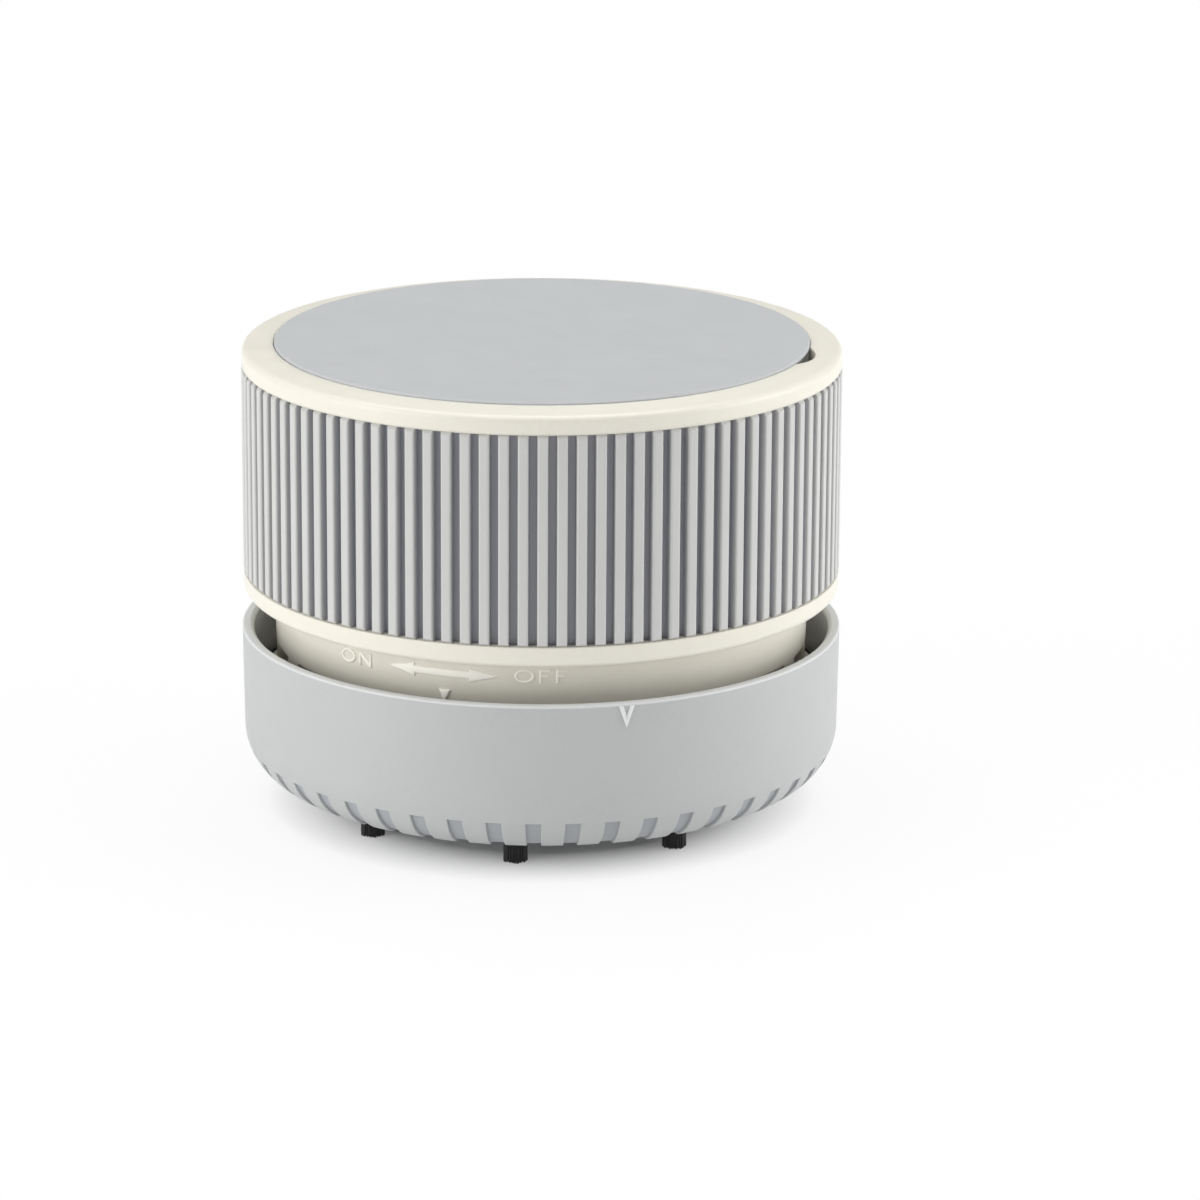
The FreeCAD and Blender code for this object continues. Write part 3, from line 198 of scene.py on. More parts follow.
# Colours, bumps, painted highlights and painted shade
soft_edge = 0.1 * mm
case_edge = 0.4 * mm
case_flow = 0.02 * mm
# Painted highlight on the bowl's edges: bevel radius and lighter share
bowl_highlight_radius = 0.3 * mm
bowl_highlight_share = 1.22
# Painted highlight along the top of the bowl's rim
rim_highlight_start = 0.40 * mm
rim_highlight_full = 0.22 * mm
rim_highlight_share = 1.4
# Painted shade on the notch floors: colour shares and mask edges
notch_floor_shade_shares = (0.75, 0.77, 0.81)
notch_shade_mask_shares = (0.4, 0.9, 1.5, 2.0)
# Painted shade low on the neck: heights and darker share
neck_shade_low_drop = 0.5 * mm
neck_shade_top_drop = 3.2 * mm
neck_shade_share = 0.79
# Painted shade in the ribs' grooves: depths where it is full and where it starts
groove_shade_full = 1.1 * mm
groove_shade_start = 0.25 * mm
# Radius of the ribs' rounded shading and of their painted edge highlight, then the highlight's lighter
# share
rib_round_and_highlight = 0.24 * mm
rib_highlight_share = 1.25
wrap_band_shares = (0.46, 0.465)
wrap_depth = 0.012 * mm
web_depth = 0.08 * mm
fuzz_depth = 0.06 * mm
filament_depth = 0.02 * mm

# Sizes of the cloudy patterns in the materials
cloud_size = 9 * mm
gloss_size = 4 * mm
flow_size = 14 * mm
stain_size = 3 * mm
web_size = 0.5 * mm
fuzz_size = 0.25 * mm
wrap_tint_size = 2 * mm
wrap_gloss_size = 5 * mm
wrap_wave_size = 6 * mm
streak_size = 0.3 * mm
filament_size = 0.15 * mm

# Grain of each surface: its size and its depth
grains = {
    "bowl_grey": (0.22 * mm, 0.020 * mm),
    "bowl_grey_raised": (0.22 * mm, 0.010 * mm),
    "case_ivory": (0.30 * mm, 0.006 * mm),
    "neck_ivory": (0.30 * mm, 0.006 * mm),
    "case_ivory_raised": (0.30 * mm, 0.006 * mm),
    "shell_grey": (0.25 * mm, 0.010 * mm),
    "lid_grey": (0.20 * mm, 0.022 * mm),
    "inner_ivory": (0.30 * mm, 0.010 * mm),
    "rubber_dark": (0.18 * mm, 0.030 * mm),
    "black_plastic": (0.20 * mm, 0.020 * mm),
    "magnet_dark": (0.25 * mm, 0.030 * mm),
    "wire_red": (0.20 * mm, 0.010 * mm),
    "wire_black": (0.20 * mm, 0.010 * mm),
    "steel": (0.25 * mm, 0.010 * mm),
    "brass": (0.20 * mm, 0.008 * mm),
    "nickel": (0.20 * mm, 0.006 * mm),
}

# Floor, light and camera
floor_half = 3.0
floor_corner_shares = ((-1, -1), (1, -1), (1, 1), (-1, 1))
near_fade_shares = (0.62, 0.93)
far_fade_shares = (1.3, 6)
glow_share = 0.88
world_light = 0.245
lamp_target = 0.035
camera_sensor = 36.0
camera_lens = 165.0
camera_distance = 0.755
camera_rise = math.radians(15.95)
camera_target = 0.0303
camera_shift_x = 0.049
camera_shift_y = -0.0138
camera_roll = math.radians(0.16)
camera_near = 0.01
camera_far = 20.0

# Soft boxes: turn and rise in degrees, distance, width and height in metres, power in watts
soft_boxes = {
    "left_box": (-63, 18, 0.8, 0.7, 0.6, 4.1),
    "right_box": (88, 18, 0.8, 0.7, 0.6, 4.6),
    "top_box": (-160, 80, 0.9, 0.8, 0.8, 5.3),
}


def point(radius, turn, height):
    """Point at a radius and a turn in degrees from the front, towards +X."""
    angle = math.radians(turn)
    return Vector((radius * math.sin(angle), -radius * math.cos(angle), height))


def add_piece(name, points, faces, body, slot_name, replaced=()):
    """Smooth mesh piece that rides on a body."""
    mesh = bpy.data.meshes.new(name)
    mesh.from_pydata(points, [], faces)
    work = bmesh.new()
    work.from_mesh(mesh)
    bmesh.ops.remove_doubles(work, verts=work.verts, dist=weld_distance)
    bmesh.ops.recalc_face_normals(work, faces=work.faces)
    work.to_mesh(mesh)
    work.free()
    for polygon in mesh.polygons:
        polygon.use_smooth = True
    mesh.set_sharp_from_angle(angle=math.radians(crease_turn))
    piece = bpy.data.objects.new(name, mesh)
    bpy.context.scene.collection.objects.link(piece)
    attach(piece, body)
    if replaced:
        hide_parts(*replaced)
    piece.data.materials.append(materials[slot_name])
    return piece


def loft(rows):
    """Points and faces of a closed skin through rings of equal length, the last joined to the first."""
    count = len(rows[0])
    points = [corner for row in rows for corner in row]
    faces = []
    for number in range(len(rows)):
        here = number * count
        there = (number + 1) % len(rows) * count
        for step in range(count):
            after = (step + 1) % count
            faces.append((here + step, here + after, there + after, there + step))
    return points, faces


def arc(centre_radius, centre_height, radius, start, end, steps):
    """Profile points on an arc; 0 degrees points outward and 90 up."""
    found = []
    for step in range(steps + 1):
        angle = math.radians(start + (end - start) * step / steps)
        found.append((centre_radius + radius * math.cos(angle), centre_height + radius * math.sin(angle)))
    return found


def run(start, end, steps):
    """Profile points along a straight line, both ends included."""
    return [
        (start[0] + (end[0] - start[0]) * step / steps, start[1] + (end[1] - start[1]) * step / steps)
        for step in range(steps + 1)
    ]


def even_turns(count, offset=0.0):
    return [360 / count * step + offset for step in range(count)]


class Shader:
    """Short way to build a node material."""

    def __init__(self, name):
        self.material = bpy.data.materials.new(name)
        self.material.use_nodes = True
        self.nodes = self.material.node_tree.nodes
        self.links = self.material.node_tree.links
        self.nodes.clear()
        self.out = self.add("ShaderNodeOutputMaterial")
        self.place = self.add("ShaderNodeTexCoord").outputs["Object"]

    def fill(self, socket, value):
        """Link a value that is a socket, or set it as the constant."""
        if isinstance(value, bpy.types.NodeSocket):
            self.links.new(value, socket)
        else:
            socket.default_value = value

    def add(self, kind, settings=(), **inputs):
        node = self.nodes.new(kind)
        for key, value in settings:
            setattr(node, key, value)
        for key, value in inputs.items():
            self.fill(node.inputs[key.replace("_", " ")], value)
        return node

    def reckon(self, operation, first, second=0.0):
        """Outcome of one sum on two numbers."""
        node = self.add("ShaderNodeMath", [("operation", operation)])
        self.fill(node.inputs[0], first)
        self.fill(node.inputs[1], second)
        return node.outputs[0]

    def length(self, vector):
        node = self.add("ShaderNodeVectorMath", [("operation", "LENGTH")])
        self.fill(node.inputs[0], vector)
        return node.outputs["Value"]

    def noise(self, size, detail=3.0, roughness=0.5):
        """Cloudy pattern with features about this size in metres, 0 to 1."""
        node = self.add(
            "ShaderNodeTexNoise", Scale=1 / size, Detail=detail, Roughness=roughness, Vector=self.place,
        )
        return node.outputs["Fac"]

    def stretch(self, value, low, high, new_low=0.0, new_high=1.0):
        node = self.add(
            "ShaderNodeMapRange", Value=value, From_Min=low, From_Max=high, To_Min=new_low, To_Max=new_high,
        )
        return node.outputs["Result"]

    def mix(self, amount, first, second):
        node = self.add("ShaderNodeMix", [("data_type", "RGBA")])
        self.fill(node.inputs[0], amount)
        self.fill(node.inputs[6], first)
        self.fill(node.inputs[7], second)
        return node.outputs[2]

    def bump(self, height, strength, distance, normal=None):
        node = self.add("ShaderNodeBump", Height=height, Strength=strength, Distance=distance)
        if normal is not None:
            self.fill(node.inputs["Normal"], normal)
        return node.outputs["Normal"]

    def rounded(self, radius):
        """Normal that shades sharp edges as softly rounded ones."""
        return self.add("ShaderNodeBevel", [("samples", 6)], Radius=radius).outputs["Normal"]

    def edge_highlight(self, radius):
        """Share of painted highlight on edges, from how far a rounded normal leans."""
        agree = self.add("ShaderNodeVectorMath", [("operation", "DOT_PRODUCT")])
        self.fill(agree.inputs[0], self.rounded(radius))
        self.fill(agree.inputs[1], self.add("ShaderNodeNewGeometry").outputs["Normal"])
        return self.stretch(agree.outputs["Value"], 0.78, 0.97, 1.0, 0.0)

    def reach(self):
        """Distance from the vertical axis."""
        flat = self.add("ShaderNodeVectorMath", [("operation", "MULTIPLY")])
        self.fill(flat.inputs[0], self.place)
        self.fill(flat.inputs[1], (1.0, 1.0, 0.0))
        return self.length(flat.outputs[0])

    def surface(self, **inputs):
        node = self.add("ShaderNodeBsdfPrincipled", **inputs)
        self.links.new(node.outputs["BSDF"], self.out.inputs["Surface"])
        return self.material


def shade(colour, factor):
    return (colour[0] * factor, colour[1] * factor, colour[2] * factor, 1.0)


def bowl_bend_sizes():
    """Radius and centre of the bend between the bowl's side and its foot."""
    side = bowl_high.x - bowl_draft
    bend = (bowl_foot ** 2 + bowl_bend ** 2) / (bowl_foot * 2)
    return bend, side - bend, bowl_low.z + bowl_bend


def notched(shader, tint, colour):
    """Painted highlight on the edges and on the rim, painted shade on the floors of the notches."""
    bend, centre, bend_top = bowl_bend_sizes()
    # Painted highlight on the edges
    tint = shader.mix(shader.edge_highlight(bowl_highlight_radius), tint, shade(colour, bowl_highlight_share))
    height = shader.add("ShaderNodeSeparateXYZ", Vector=shader.place).outputs["Z"]
    # Painted highlight along the top of the rim
    rim = shader.stretch(height, bowl_high.z - rim_highlight_start, bowl_high.z - rim_highlight_full)
    tint = shader.mix(rim, tint, shade(colour, rim_highlight_share))
    # Painted shade on the floors of the notches
    out = shader.reckon("SUBTRACT", shader.reach(), centre)
    up = shader.reckon("SUBTRACT", height, bend_top)
    away = shader.length(shader.add("ShaderNodeCombineXYZ", X=out, Y=up).outputs[0])
    edges = [bend - notch_depth * share for share in notch_shade_mask_shares]
    outside = shader.stretch(away, edges[1], edges[0])
    inside = shader.stretch(away, edges[3], edges[2], 1.0, 0.0)
    floor = [part * share for part, share in zip(colour, notch_floor_shade_shares)]
    return shader.mix(shader.reckon("MAXIMUM", outside, inside), (*floor, 1.0), tint)


def shaded_low_neck(shader, tint, colour):
    """Painted shade low on the neck, darker towards the bowl's rim."""
    height = shader.add("ShaderNodeSeparateXYZ", Vector=shader.place).outputs["Z"]
    unshaded = shader.stretch(height, bowl_high.z - neck_shade_low_drop, neck_high.z - neck_shade_top_drop)
    return shader.mix(unshaded, shade(colour, neck_shade_share), tint)


def moulded(name, colour, rough, mottle=0.03, flow=0.0, soften=soft_edge, paint=None):
    """Moulded plastic: faint mottling, fine grain in the mould and uneven gloss."""
    shader = Shader(name)
    grain, depth = grains[name]
    cloud = shader.stretch(shader.noise(cloud_size), 0.3, 0.7)
    tint = shader.mix(cloud, shade(colour, 1 - mottle), shade(colour, 1 + mottle))
    speck = shader.stretch(shader.noise(grain * 2.5, 2.0), 0.42, 0.58)
    tint = shader.mix(speck, tint, shade(colour, 1 + mottle * 0.5))
    if paint:
        tint = paint(shader, tint, colour)
    gloss = shader.stretch(shader.noise(gloss_size), 0.3, 0.7, rough - 0.05, rough + 0.05)
    normal = shader.bump(shader.noise(grain, 2.0, 0.6), 0.5, depth, shader.rounded(soften))
    if flow:
        normal = shader.bump(shader.noise(flow_size, 1.0), 0.4, flow, normal)
    return shader.surface(Base_Color=tint, Roughness=gloss, Normal=normal)


def ribbed(name, colour, groove_shade_colour, rough):
    """Moulded ribs, with painted shade down in the grooves and painted highlight on the rib edges."""
    shader = Shader(name)
    grain, depth = grains[name]
    # Painted shade in the grooves, darker towards their floors
    out = shader.stretch(shader.reach(), shell_high.x - groove_shade_full, shell_high.x - groove_shade_start)
    cloud = shader.stretch(shader.noise(cloud_size), 0.3, 0.7)
    tint = shader.mix(cloud, shade(colour, 0.985), shade(colour, 1.015))
    # Painted highlight on the rib edges
    tint = shader.mix(shader.edge_highlight(rib_round_and_highlight), tint, shade(colour, rib_highlight_share))
    tint = shader.mix(out, (*groove_shade_colour, 1.0), tint)
    gloss = shader.stretch(shader.noise(gloss_size), 0.3, 0.7, rough - 0.02, rough + 0.02)
    normal = shader.bump(shader.noise(grain, 2.0, 0.6), 0.5, depth, shader.rounded(rib_round_and_highlight))
    return shader.surface(Base_Color=tint, Roughness=gloss, Normal=normal)


def metal(name, colour, rough):
    """Bare metal with fine drawn lines and slight staining."""
    shader = Shader(name)
    grain, depth = grains[name]
    stain = shader.stretch(shader.noise(stain_size), 0.35, 0.65)
    tint = shader.mix(stain, shade(colour, 0.86), shade(colour, 1.0))
    stretched = shader.add("ShaderNodeMapping", Vector=shader.place, Scale=(1.0, 1.0, 0.06))
    lines = shader.add("ShaderNodeTexNoise", Scale=1 / grain, Detail=2.0, Vector=stretched.outputs[0])
    gloss = shader.stretch(lines.outputs["Fac"], 0.3, 0.7, rough - 0.08, rough + 0.08)
    normal = shader.bump(lines.outputs["Fac"], 0.4, depth)
    return shader.surface(Base_Color=tint, Roughness=gloss, Metallic=1.0, Normal=normal)


def cloth(name, colour):
    """Felted filter cloth of fine crossed fibres."""
    shader = Shader(name)
    edges = [("feature", "DISTANCE_TO_EDGE")]
    fibres = shader.add("ShaderNodeTexVoronoi", edges, Scale=1 / web_size, Vector=shader.place)
    web = shader.stretch(fibres.outputs["Distance"], 0.0, 0.25)
    fuzz = shader.noise(fuzz_size, 4.0, 0.7)
    tint = shader.mix(web, shade(colour, 1.0), shade(colour, 0.78))
    tint = shader.mix(fuzz, tint, shade(colour, 0.92))
    normal = shader.bump(web, 0.6, web_depth, shader.bump(fuzz, 0.6, fuzz_depth))
    return shader.surface(Base_Color=tint, Roughness=0.95, Normal=normal, Sheen_Weight=0.3)


def wrapped_cell(name, colour, band_colour):
    """Shrink wrap round a battery: a dark sleeve with a pale band at the ends."""
    shader = Shader(name)
    apart = shader.add("ShaderNodeSeparateXYZ", Vector=shader.place)
    half = (tray_high.x - tray_low.x) / 2
    reach = shader.reckon("ABSOLUTE", apart.outputs["X"])
    band = shader.stretch(reach, *(half * share for share in wrap_band_shares))
    sleeve = shader.mix(shader.noise(wrap_tint_size), shade(colour, 0.94), shade(colour, 1.06))
    tint = shader.mix(band, sleeve, (*band_colour, 1.0))
    gloss = shader.stretch(shader.noise(wrap_gloss_size), 0.3, 0.7, 0.29, 0.34)
    normal = shader.bump(shader.noise(wrap_wave_size, 1.0), 0.2, wrap_depth)
    return shader.surface(Base_Color=tint, Roughness=gloss, Normal=normal, Coat_Weight=0.2)


def bristle(name, colour):
    """Nylon filament with a soft sheen and slight unevenness along its length."""
    shader = Shader(name)
    streak = shader.noise(streak_size, 2.0)
    tint = shader.mix(streak, shade(colour, 0.6), shade(colour, 1.8))
    gloss = shader.stretch(streak, 0.3, 0.7, 0.38, 0.6)
    normal = shader.bump(shader.noise(filament_size), 0.3, filament_depth)
    return shader.surface(Base_Color=tint, Roughness=gloss, Normal=normal)


def ivory(name, paint=None):
    """Glossy ivory of the outer case."""
    return moulded(name, (0.835, 0.806, 0.710), 0.36, 0.015, case_flow, case_edge, paint)


materials = {
    "bowl_grey": moulded("bowl_grey", (0.518, 0.528, 0.528), 0.48, 0.02, paint=notched),
    "case_ivory": ivory("case_ivory"),
    "shell_grey": ribbed("shell_grey", (0.615, 0.615, 0.602), (0.38, 0.39, 0.425), 0.34),
    "lid_grey": moulded("lid_grey", (0.520, 0.535, 0.545), 0.50, 0.02),
    "inner_ivory": moulded("inner_ivory", (0.80, 0.785, 0.715), 0.42),
    "bristle_black": bristle("bristle_black", (0.012, 0.012, 0.013)),
    "filter_white": cloth("filter_white", (0.80, 0.80, 0.77)),
    "rubber_dark": moulded("rubber_dark", (0.035, 0.035, 0.036), 0.72, 0.15),
    "black_plastic": moulded("black_plastic", (0.022, 0.022, 0.023), 0.45, 0.12),
    "steel": metal("steel", (0.56, 0.56, 0.57), 0.32),
    "magnet_dark": moulded("magnet_dark", (0.06, 0.06, 0.065), 0.62, 0.2),
    "brass": metal("brass", (0.78, 0.56, 0.26), 0.28),
    "nickel": metal("nickel", (0.66, 0.64, 0.60), 0.24),
    "battery_wrap": wrapped_cell("battery_wrap", (0.02, 0.07, 0.20), (0.60, 0.60, 0.58)),
    "wire_red": moulded("wire_red", (0.50, 0.03, 0.02), 0.4, 0.08),
    "wire_black": moulded("wire_black", (0.02, 0.02, 0.02), 0.4, 0.12),
}

# Neck ivory with painted shade low down
neck_material = ivory("neck_ivory", shaded_low_neck)

# Paler copies of the materials on the raised marks, painted highlight
raised_highlight_materials = {
    "bowl_grey": moulded("bowl_grey_raised", (0.82, 0.83, 0.83), 0.38, 0.02),
    "case_ivory": moulded("case_ivory_raised", (0.95, 0.93, 0.85), 0.34, 0.015),
}


def dress_nodes():
    """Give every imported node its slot's material."""
    for row in frame["record"]["subparts"]:
        node = frame["nodes"][row["node"]]
        node.data.materials.clear()
        node.data.materials.append(materials[row["material_slot"]])
    frame["nodes"]["neck_housing"].data.materials[0] = neck_material


def bowl_profile():
    """Rows round the bowl as (radius, height, radius in a notch, height in a notch)."""
    bend, centre, bend_top = bowl_bend_sizes()
    side = bowl_high.x - bowl_draft
    bore = side - bowl_wall
    edge = side - bowl_foot
    floor_top = bowl_low.z + floor_thick
    ledge_top = floor_top + ledge_rise
    hole = far_radius("inlet_tube", floor_top - snug_gap) + snug_gap
    foot_inner = edge - foot_width
    inner_bend = bend - bowl_wall
    inner_end = -math.degrees(math.asin((bend_top - floor_top) / inner_bend))
    notch_start = -math.degrees(math.asin((bend_top - bowl_low.z - notch_rise) / bend))
    full_end = -math.degrees(math.asin(bowl_bend / bend))
    deep_end = -math.degrees(math.asin(bowl_bend / (bend - notch_depth)))
    rows = []

    def plain(places):
        for radius, height in places:
            rows.append((radius, height, radius, height))

    plain(run((bore + rim_bevel, bowl_high.z), (bowl_high.x - rim_round, bowl_high.z), 1))
    plain(arc(bowl_high.x - rim_round, bowl_high.z - rim_round, rim_round, 90, 0, 5)[1:])
    plain(run((bowl_high.x, bowl_high.z - rim_round), (side, bend_top), 8)[1:])
    above = notch_start + math.degrees(notch_edge / bend)
    plain(arc(centre, bend_top, bend, 0, above, 12)[1:])
    full = arc(centre, bend_top, bend, notch_start, full_end, 14)
    deep = arc(centre, bend_top, bend - notch_depth, notch_start, deep_end, 14)
    rows.extend(outer + inner for outer, inner in zip(full, deep))
    plain([
        (foot_inner, bowl_low.z),
        (foot_inner, brush_low.z),
        (brush_high.x + snug_gap, brush_low.z),
        (brush_high.x + snug_gap, brush_high.z),
        (brush_bore - snug_gap, brush_high.z),
        (brush_bore - snug_gap, brush_low.z),
        (hole, brush_low.z),
        (hole, floor_top),
    ])
    plain(arc(centre, bend_top, inner_bend, inner_end, 0, 10))
    plain([
        (bore, ledge_top - ledge_thick - ledge_reach),
        (bore - ledge_reach, ledge_top - ledge_thick),
        (bore - ledge_reach, ledge_top),
        (bore, ledge_top),
        (bore, bowl_high.z - rim_bevel),
    ])
    return rows


def notch_columns():
    """Turns round the bowl, each with the share of the notch's depth that it has."""
    per_degree = bowl_high.x * turn_of_circle / 360
    half = notch_width / 2 / per_degree
    edge = notch_edge / per_degree
    pitch = 360 / notch_count
    rest = pitch - 2 * (half + edge)
    side = [
        (half * width_share + edge * edge_share, depth_share)
        for width_share, edge_share, depth_share in notch_side_shares
    ]
    columns = []
    for number in range(notch_count):
        middle = notch_turn + pitch * number
        columns += [(middle - offset, share) for offset, share in side]
        columns += [(middle + offset, share) for offset, share in reversed(side)]
        columns += [(middle + half + edge + rest * step / 5, 0.0) for step in range(1, 5)]
    return columns


def make_bowl():
    columns = notch_columns()
    rows = []
    for radius, height, deep_radius, deep_height in bowl_profile():
        rows.append([
            point(radius + (deep_radius - radius) * share, turn, height + (deep_height - height) * share)
            for turn, share in columns
        ])
    points, faces = loft(rows)
    add_piece("bowl", points, faces, "base", "bowl_grey", ["dust_bowl"])


def raised_shape(loops, lift, bevel):
    """Flat solid of one shape, with its upper rims bevelled."""
    flat = bmesh.new()
    edges = []
    for loop in loops:
        corners = [flat.verts.new((across, height, 0)) for across, height in loop]
        for first, second in zip(corners, corners[1:] + corners[:1]):
            edges.append(flat.edges.new((first, second)))
    bmesh.ops.triangle_fill(flat, use_beauty=True, use_dissolve=True, edges=edges)
    made = bmesh.ops.extrude_face_region(flat, geom=flat.faces[:])
    top = [item for item in made["geom"] if isinstance(item, bmesh.types.BMVert)]
    bmesh.ops.translate(flat, verts=top, vec=(0, 0, lift + relief_sink))
    bmesh.ops.recalc_face_normals(flat, faces=flat.faces)
    rims = [
        edge for edge in flat.edges
        if all(corner.co.z > relief_sink for corner in edge.verts) and edge.calc_face_angle(0) > rim_angle
    ]
    bmesh.ops.bevel(flat, geom=rims, offset=bevel, segments=2, profile=0.5, affect="EDGES")
    mesh = bpy.data.meshes.new("raised_shape")
    flat.to_mesh(mesh)
    flat.free()
    return mesh


def relief(name, shapes, radius, body, slot_name, lift, bevel):
    """Shapes raised from a cylinder. Each is loops of (turn length, height), the first the outer one."""
    work = bmesh.new()
    for loops in shapes:
        mesh = raised_shape(loops, lift, bevel)
        work.from_mesh(mesh)
        bpy.data.meshes.remove(mesh)
    place = min(vertex.co.x for vertex in work.verts) + relief_step
    high = max(vertex.co.x for vertex in work.verts)
    while place < high:
        bmesh.ops.bisect_plane(
            work, geom=work.verts[:] + work.edges[:] + work.faces[:],
            plane_co=(place, 0, 0), plane_no=(1, 0, 0),
        )
        place += relief_step
    for vertex in work.verts:
        across, height, out = vertex.co
        vertex.co = point(radius + out - relief_sink, math.degrees(across / radius), height)
    mesh = bpy.data.meshes.new(name)
    work.to_mesh(mesh)
    work.free()
    points = [tuple(vertex.co) for vertex in mesh.vertices]
    faces = [tuple(polygon.vertices) for polygon in mesh.polygons]
    bpy.data.meshes.remove(mesh)
    piece = add_piece(name, points, faces, body, slot_name)
    # Paler copy of the material on the raised mark, painted highlight
    piece.data.materials[0] = raised_highlight_materials[slot_name]


def make_bowl_mark():
    """Raised V below the rim."""
    radius = bowl_high.x - mark_sunk
    middle = radius * math.radians(mark_turn)
    top = bowl_high.z - rim_round
    half = mark_width / 2
    loop = [
        (middle - half, top),
        (middle, top - mark_height),
        (middle + half, top),
        (middle + half - mark_stroke, top),
        (middle, top - mark_height + mark_stroke * mark_height / half),
        (middle - half + mark_stroke, top),
    ]
    relief("bowl_mark", [[loop]], radius, "base", "bowl_grey", mark_lift, mark_bevel)


def ellipse(left, low, width, height, inset):
    """Loop of points on an ellipse in a box, drawn in by an inset."""
    found = []
    for step in range(28):
        angle = turn_of_circle * step / 28
        across = left + width / 2 + (width / 2 - inset) * math.cos(angle)
        found.append((across, low + height / 2 + (height / 2 - inset) * math.sin(angle)))
    return found


def letter_o(left, low):
    return [ellipse(left, low, round_width, letter_height, inset) for inset in (0.0, letter_stroke)]


def letter_f(left, low):
    high = low + letter_height
    right = left + straight_width
    stem = left + letter_stroke
    waist = low + letter_height / 2
    waist_low = waist - letter_stroke / 2
    waist_high = waist + letter_stroke / 2
    waist_end = right - letter_stroke
    return [[
        (left, low), (stem, low), (stem, waist_low), (waist_end, waist_low), (waist_end, waist_high),
        (stem, waist_high), (stem, high - letter_stroke), (right, high - letter_stroke),
        (right, high), (left, high),
    ]]


def letter_n(left, low):
    high = low + letter_height
    right = left + wide_width
    slant = letter_stroke * slant_share
    deep = slant * notch_of_n_share
    return [[
        (left, low), (left + letter_stroke, low), (left + letter_stroke, high - deep),
        (right - slant, low), (right, low), (right, high), (right - letter_stroke, high),
        (right - letter_stroke, low + deep), (left + slant, high), (left, high),
    ]]


def raise_on_neck(name, shapes, lift, bevel):
    relief(name, shapes, neck_radius, "head", "case_ivory", lift, bevel)


def make_words():
    place = neck_radius * math.radians(on_turn)
    on_word = [letter_o(place, on_low), letter_n(place + round_width + word_gap, on_low)]
    raise_on_neck("word_on", on_word, word_lift, word_bevel)
    place = neck_radius * math.radians(off_turn)
    after = place + round_width + word_gap
    off_word = [
        letter_o(place, off_low),
        letter_f(after, off_low),
        letter_f(after + straight_width + word_gap, off_low),
    ]
    raise_on_neck("word_off", off_word, word_lift, word_bevel)


def make_arrow():
    """Flat double arrow between the words."""
    tip, neck, far_neck, far_tip = [math.radians(turn) * neck_radius for turn in arrow_turns]
    loop = [
        (tip, arrow_middle),
        (neck, arrow_middle - arrow_head),
        (neck, arrow_middle - arrow_bar),
        (far_neck, arrow_middle - arrow_bar),
        (far_neck, arrow_middle - arrow_head),
        (far_tip, arrow_middle),
        (far_neck, arrow_middle + arrow_head),
        (far_neck, arrow_middle + arrow_bar),
        (neck, arrow_middle + arrow_bar),
        (neck, arrow_middle + arrow_head),
    ]
    raise_on_neck("double_arrow", [[loop]], word_lift, arrow_bevel)


def make_index():
    """Raised triangle low on the neck, read against the mark on the bowl."""
    middle = math.radians(index_turn) * neck_radius
    half = index_width / 2
    loop = [(middle - half, index_top), (middle, index_top - index_height), (middle + half, index_top)]
    raise_on_neck("index_mark", [[loop]], index_lift, index_bevel)


def scoop_radius(turn):
    """Radius of the lid's seat in the ring, which widens at the finger scoop."""
    seat = lid_high.x + lid_gap
    half = scoop_chord / 2
    radius = (half ** 2 + scoop_depth ** 2) / (scoop_depth * 2)
    centre = seat + scoop_depth - radius
    away = math.radians(turn - scoop_turn)
    away = math.atan2(math.sin(away), math.cos(away))
    inside = radius ** 2 - (centre * math.sin(away)) ** 2
    if inside <= 0 or math.cos(away) < 0:
        return seat
    return max(seat, centre * math.cos(away) + math.sqrt(inside))


def ring_turns(seat):
    """Turns round the ring, each with whether it lies in the finger scoop."""
    half = math.degrees(math.asin(scoop_chord / 2 / seat))
    start = scoop_turn - half
    end = scoop_turn + half
    turns = [(turn, False) for turn in even_turns(360) if turn < start]
    turns += [(start, False)]
    turns += [(start + 2 * half * step / 60, True) for step in range(61)]
    turns += [(end, False)]
    turns += [(turn, False) for turn in even_turns(360) if turn > end]
    return turns


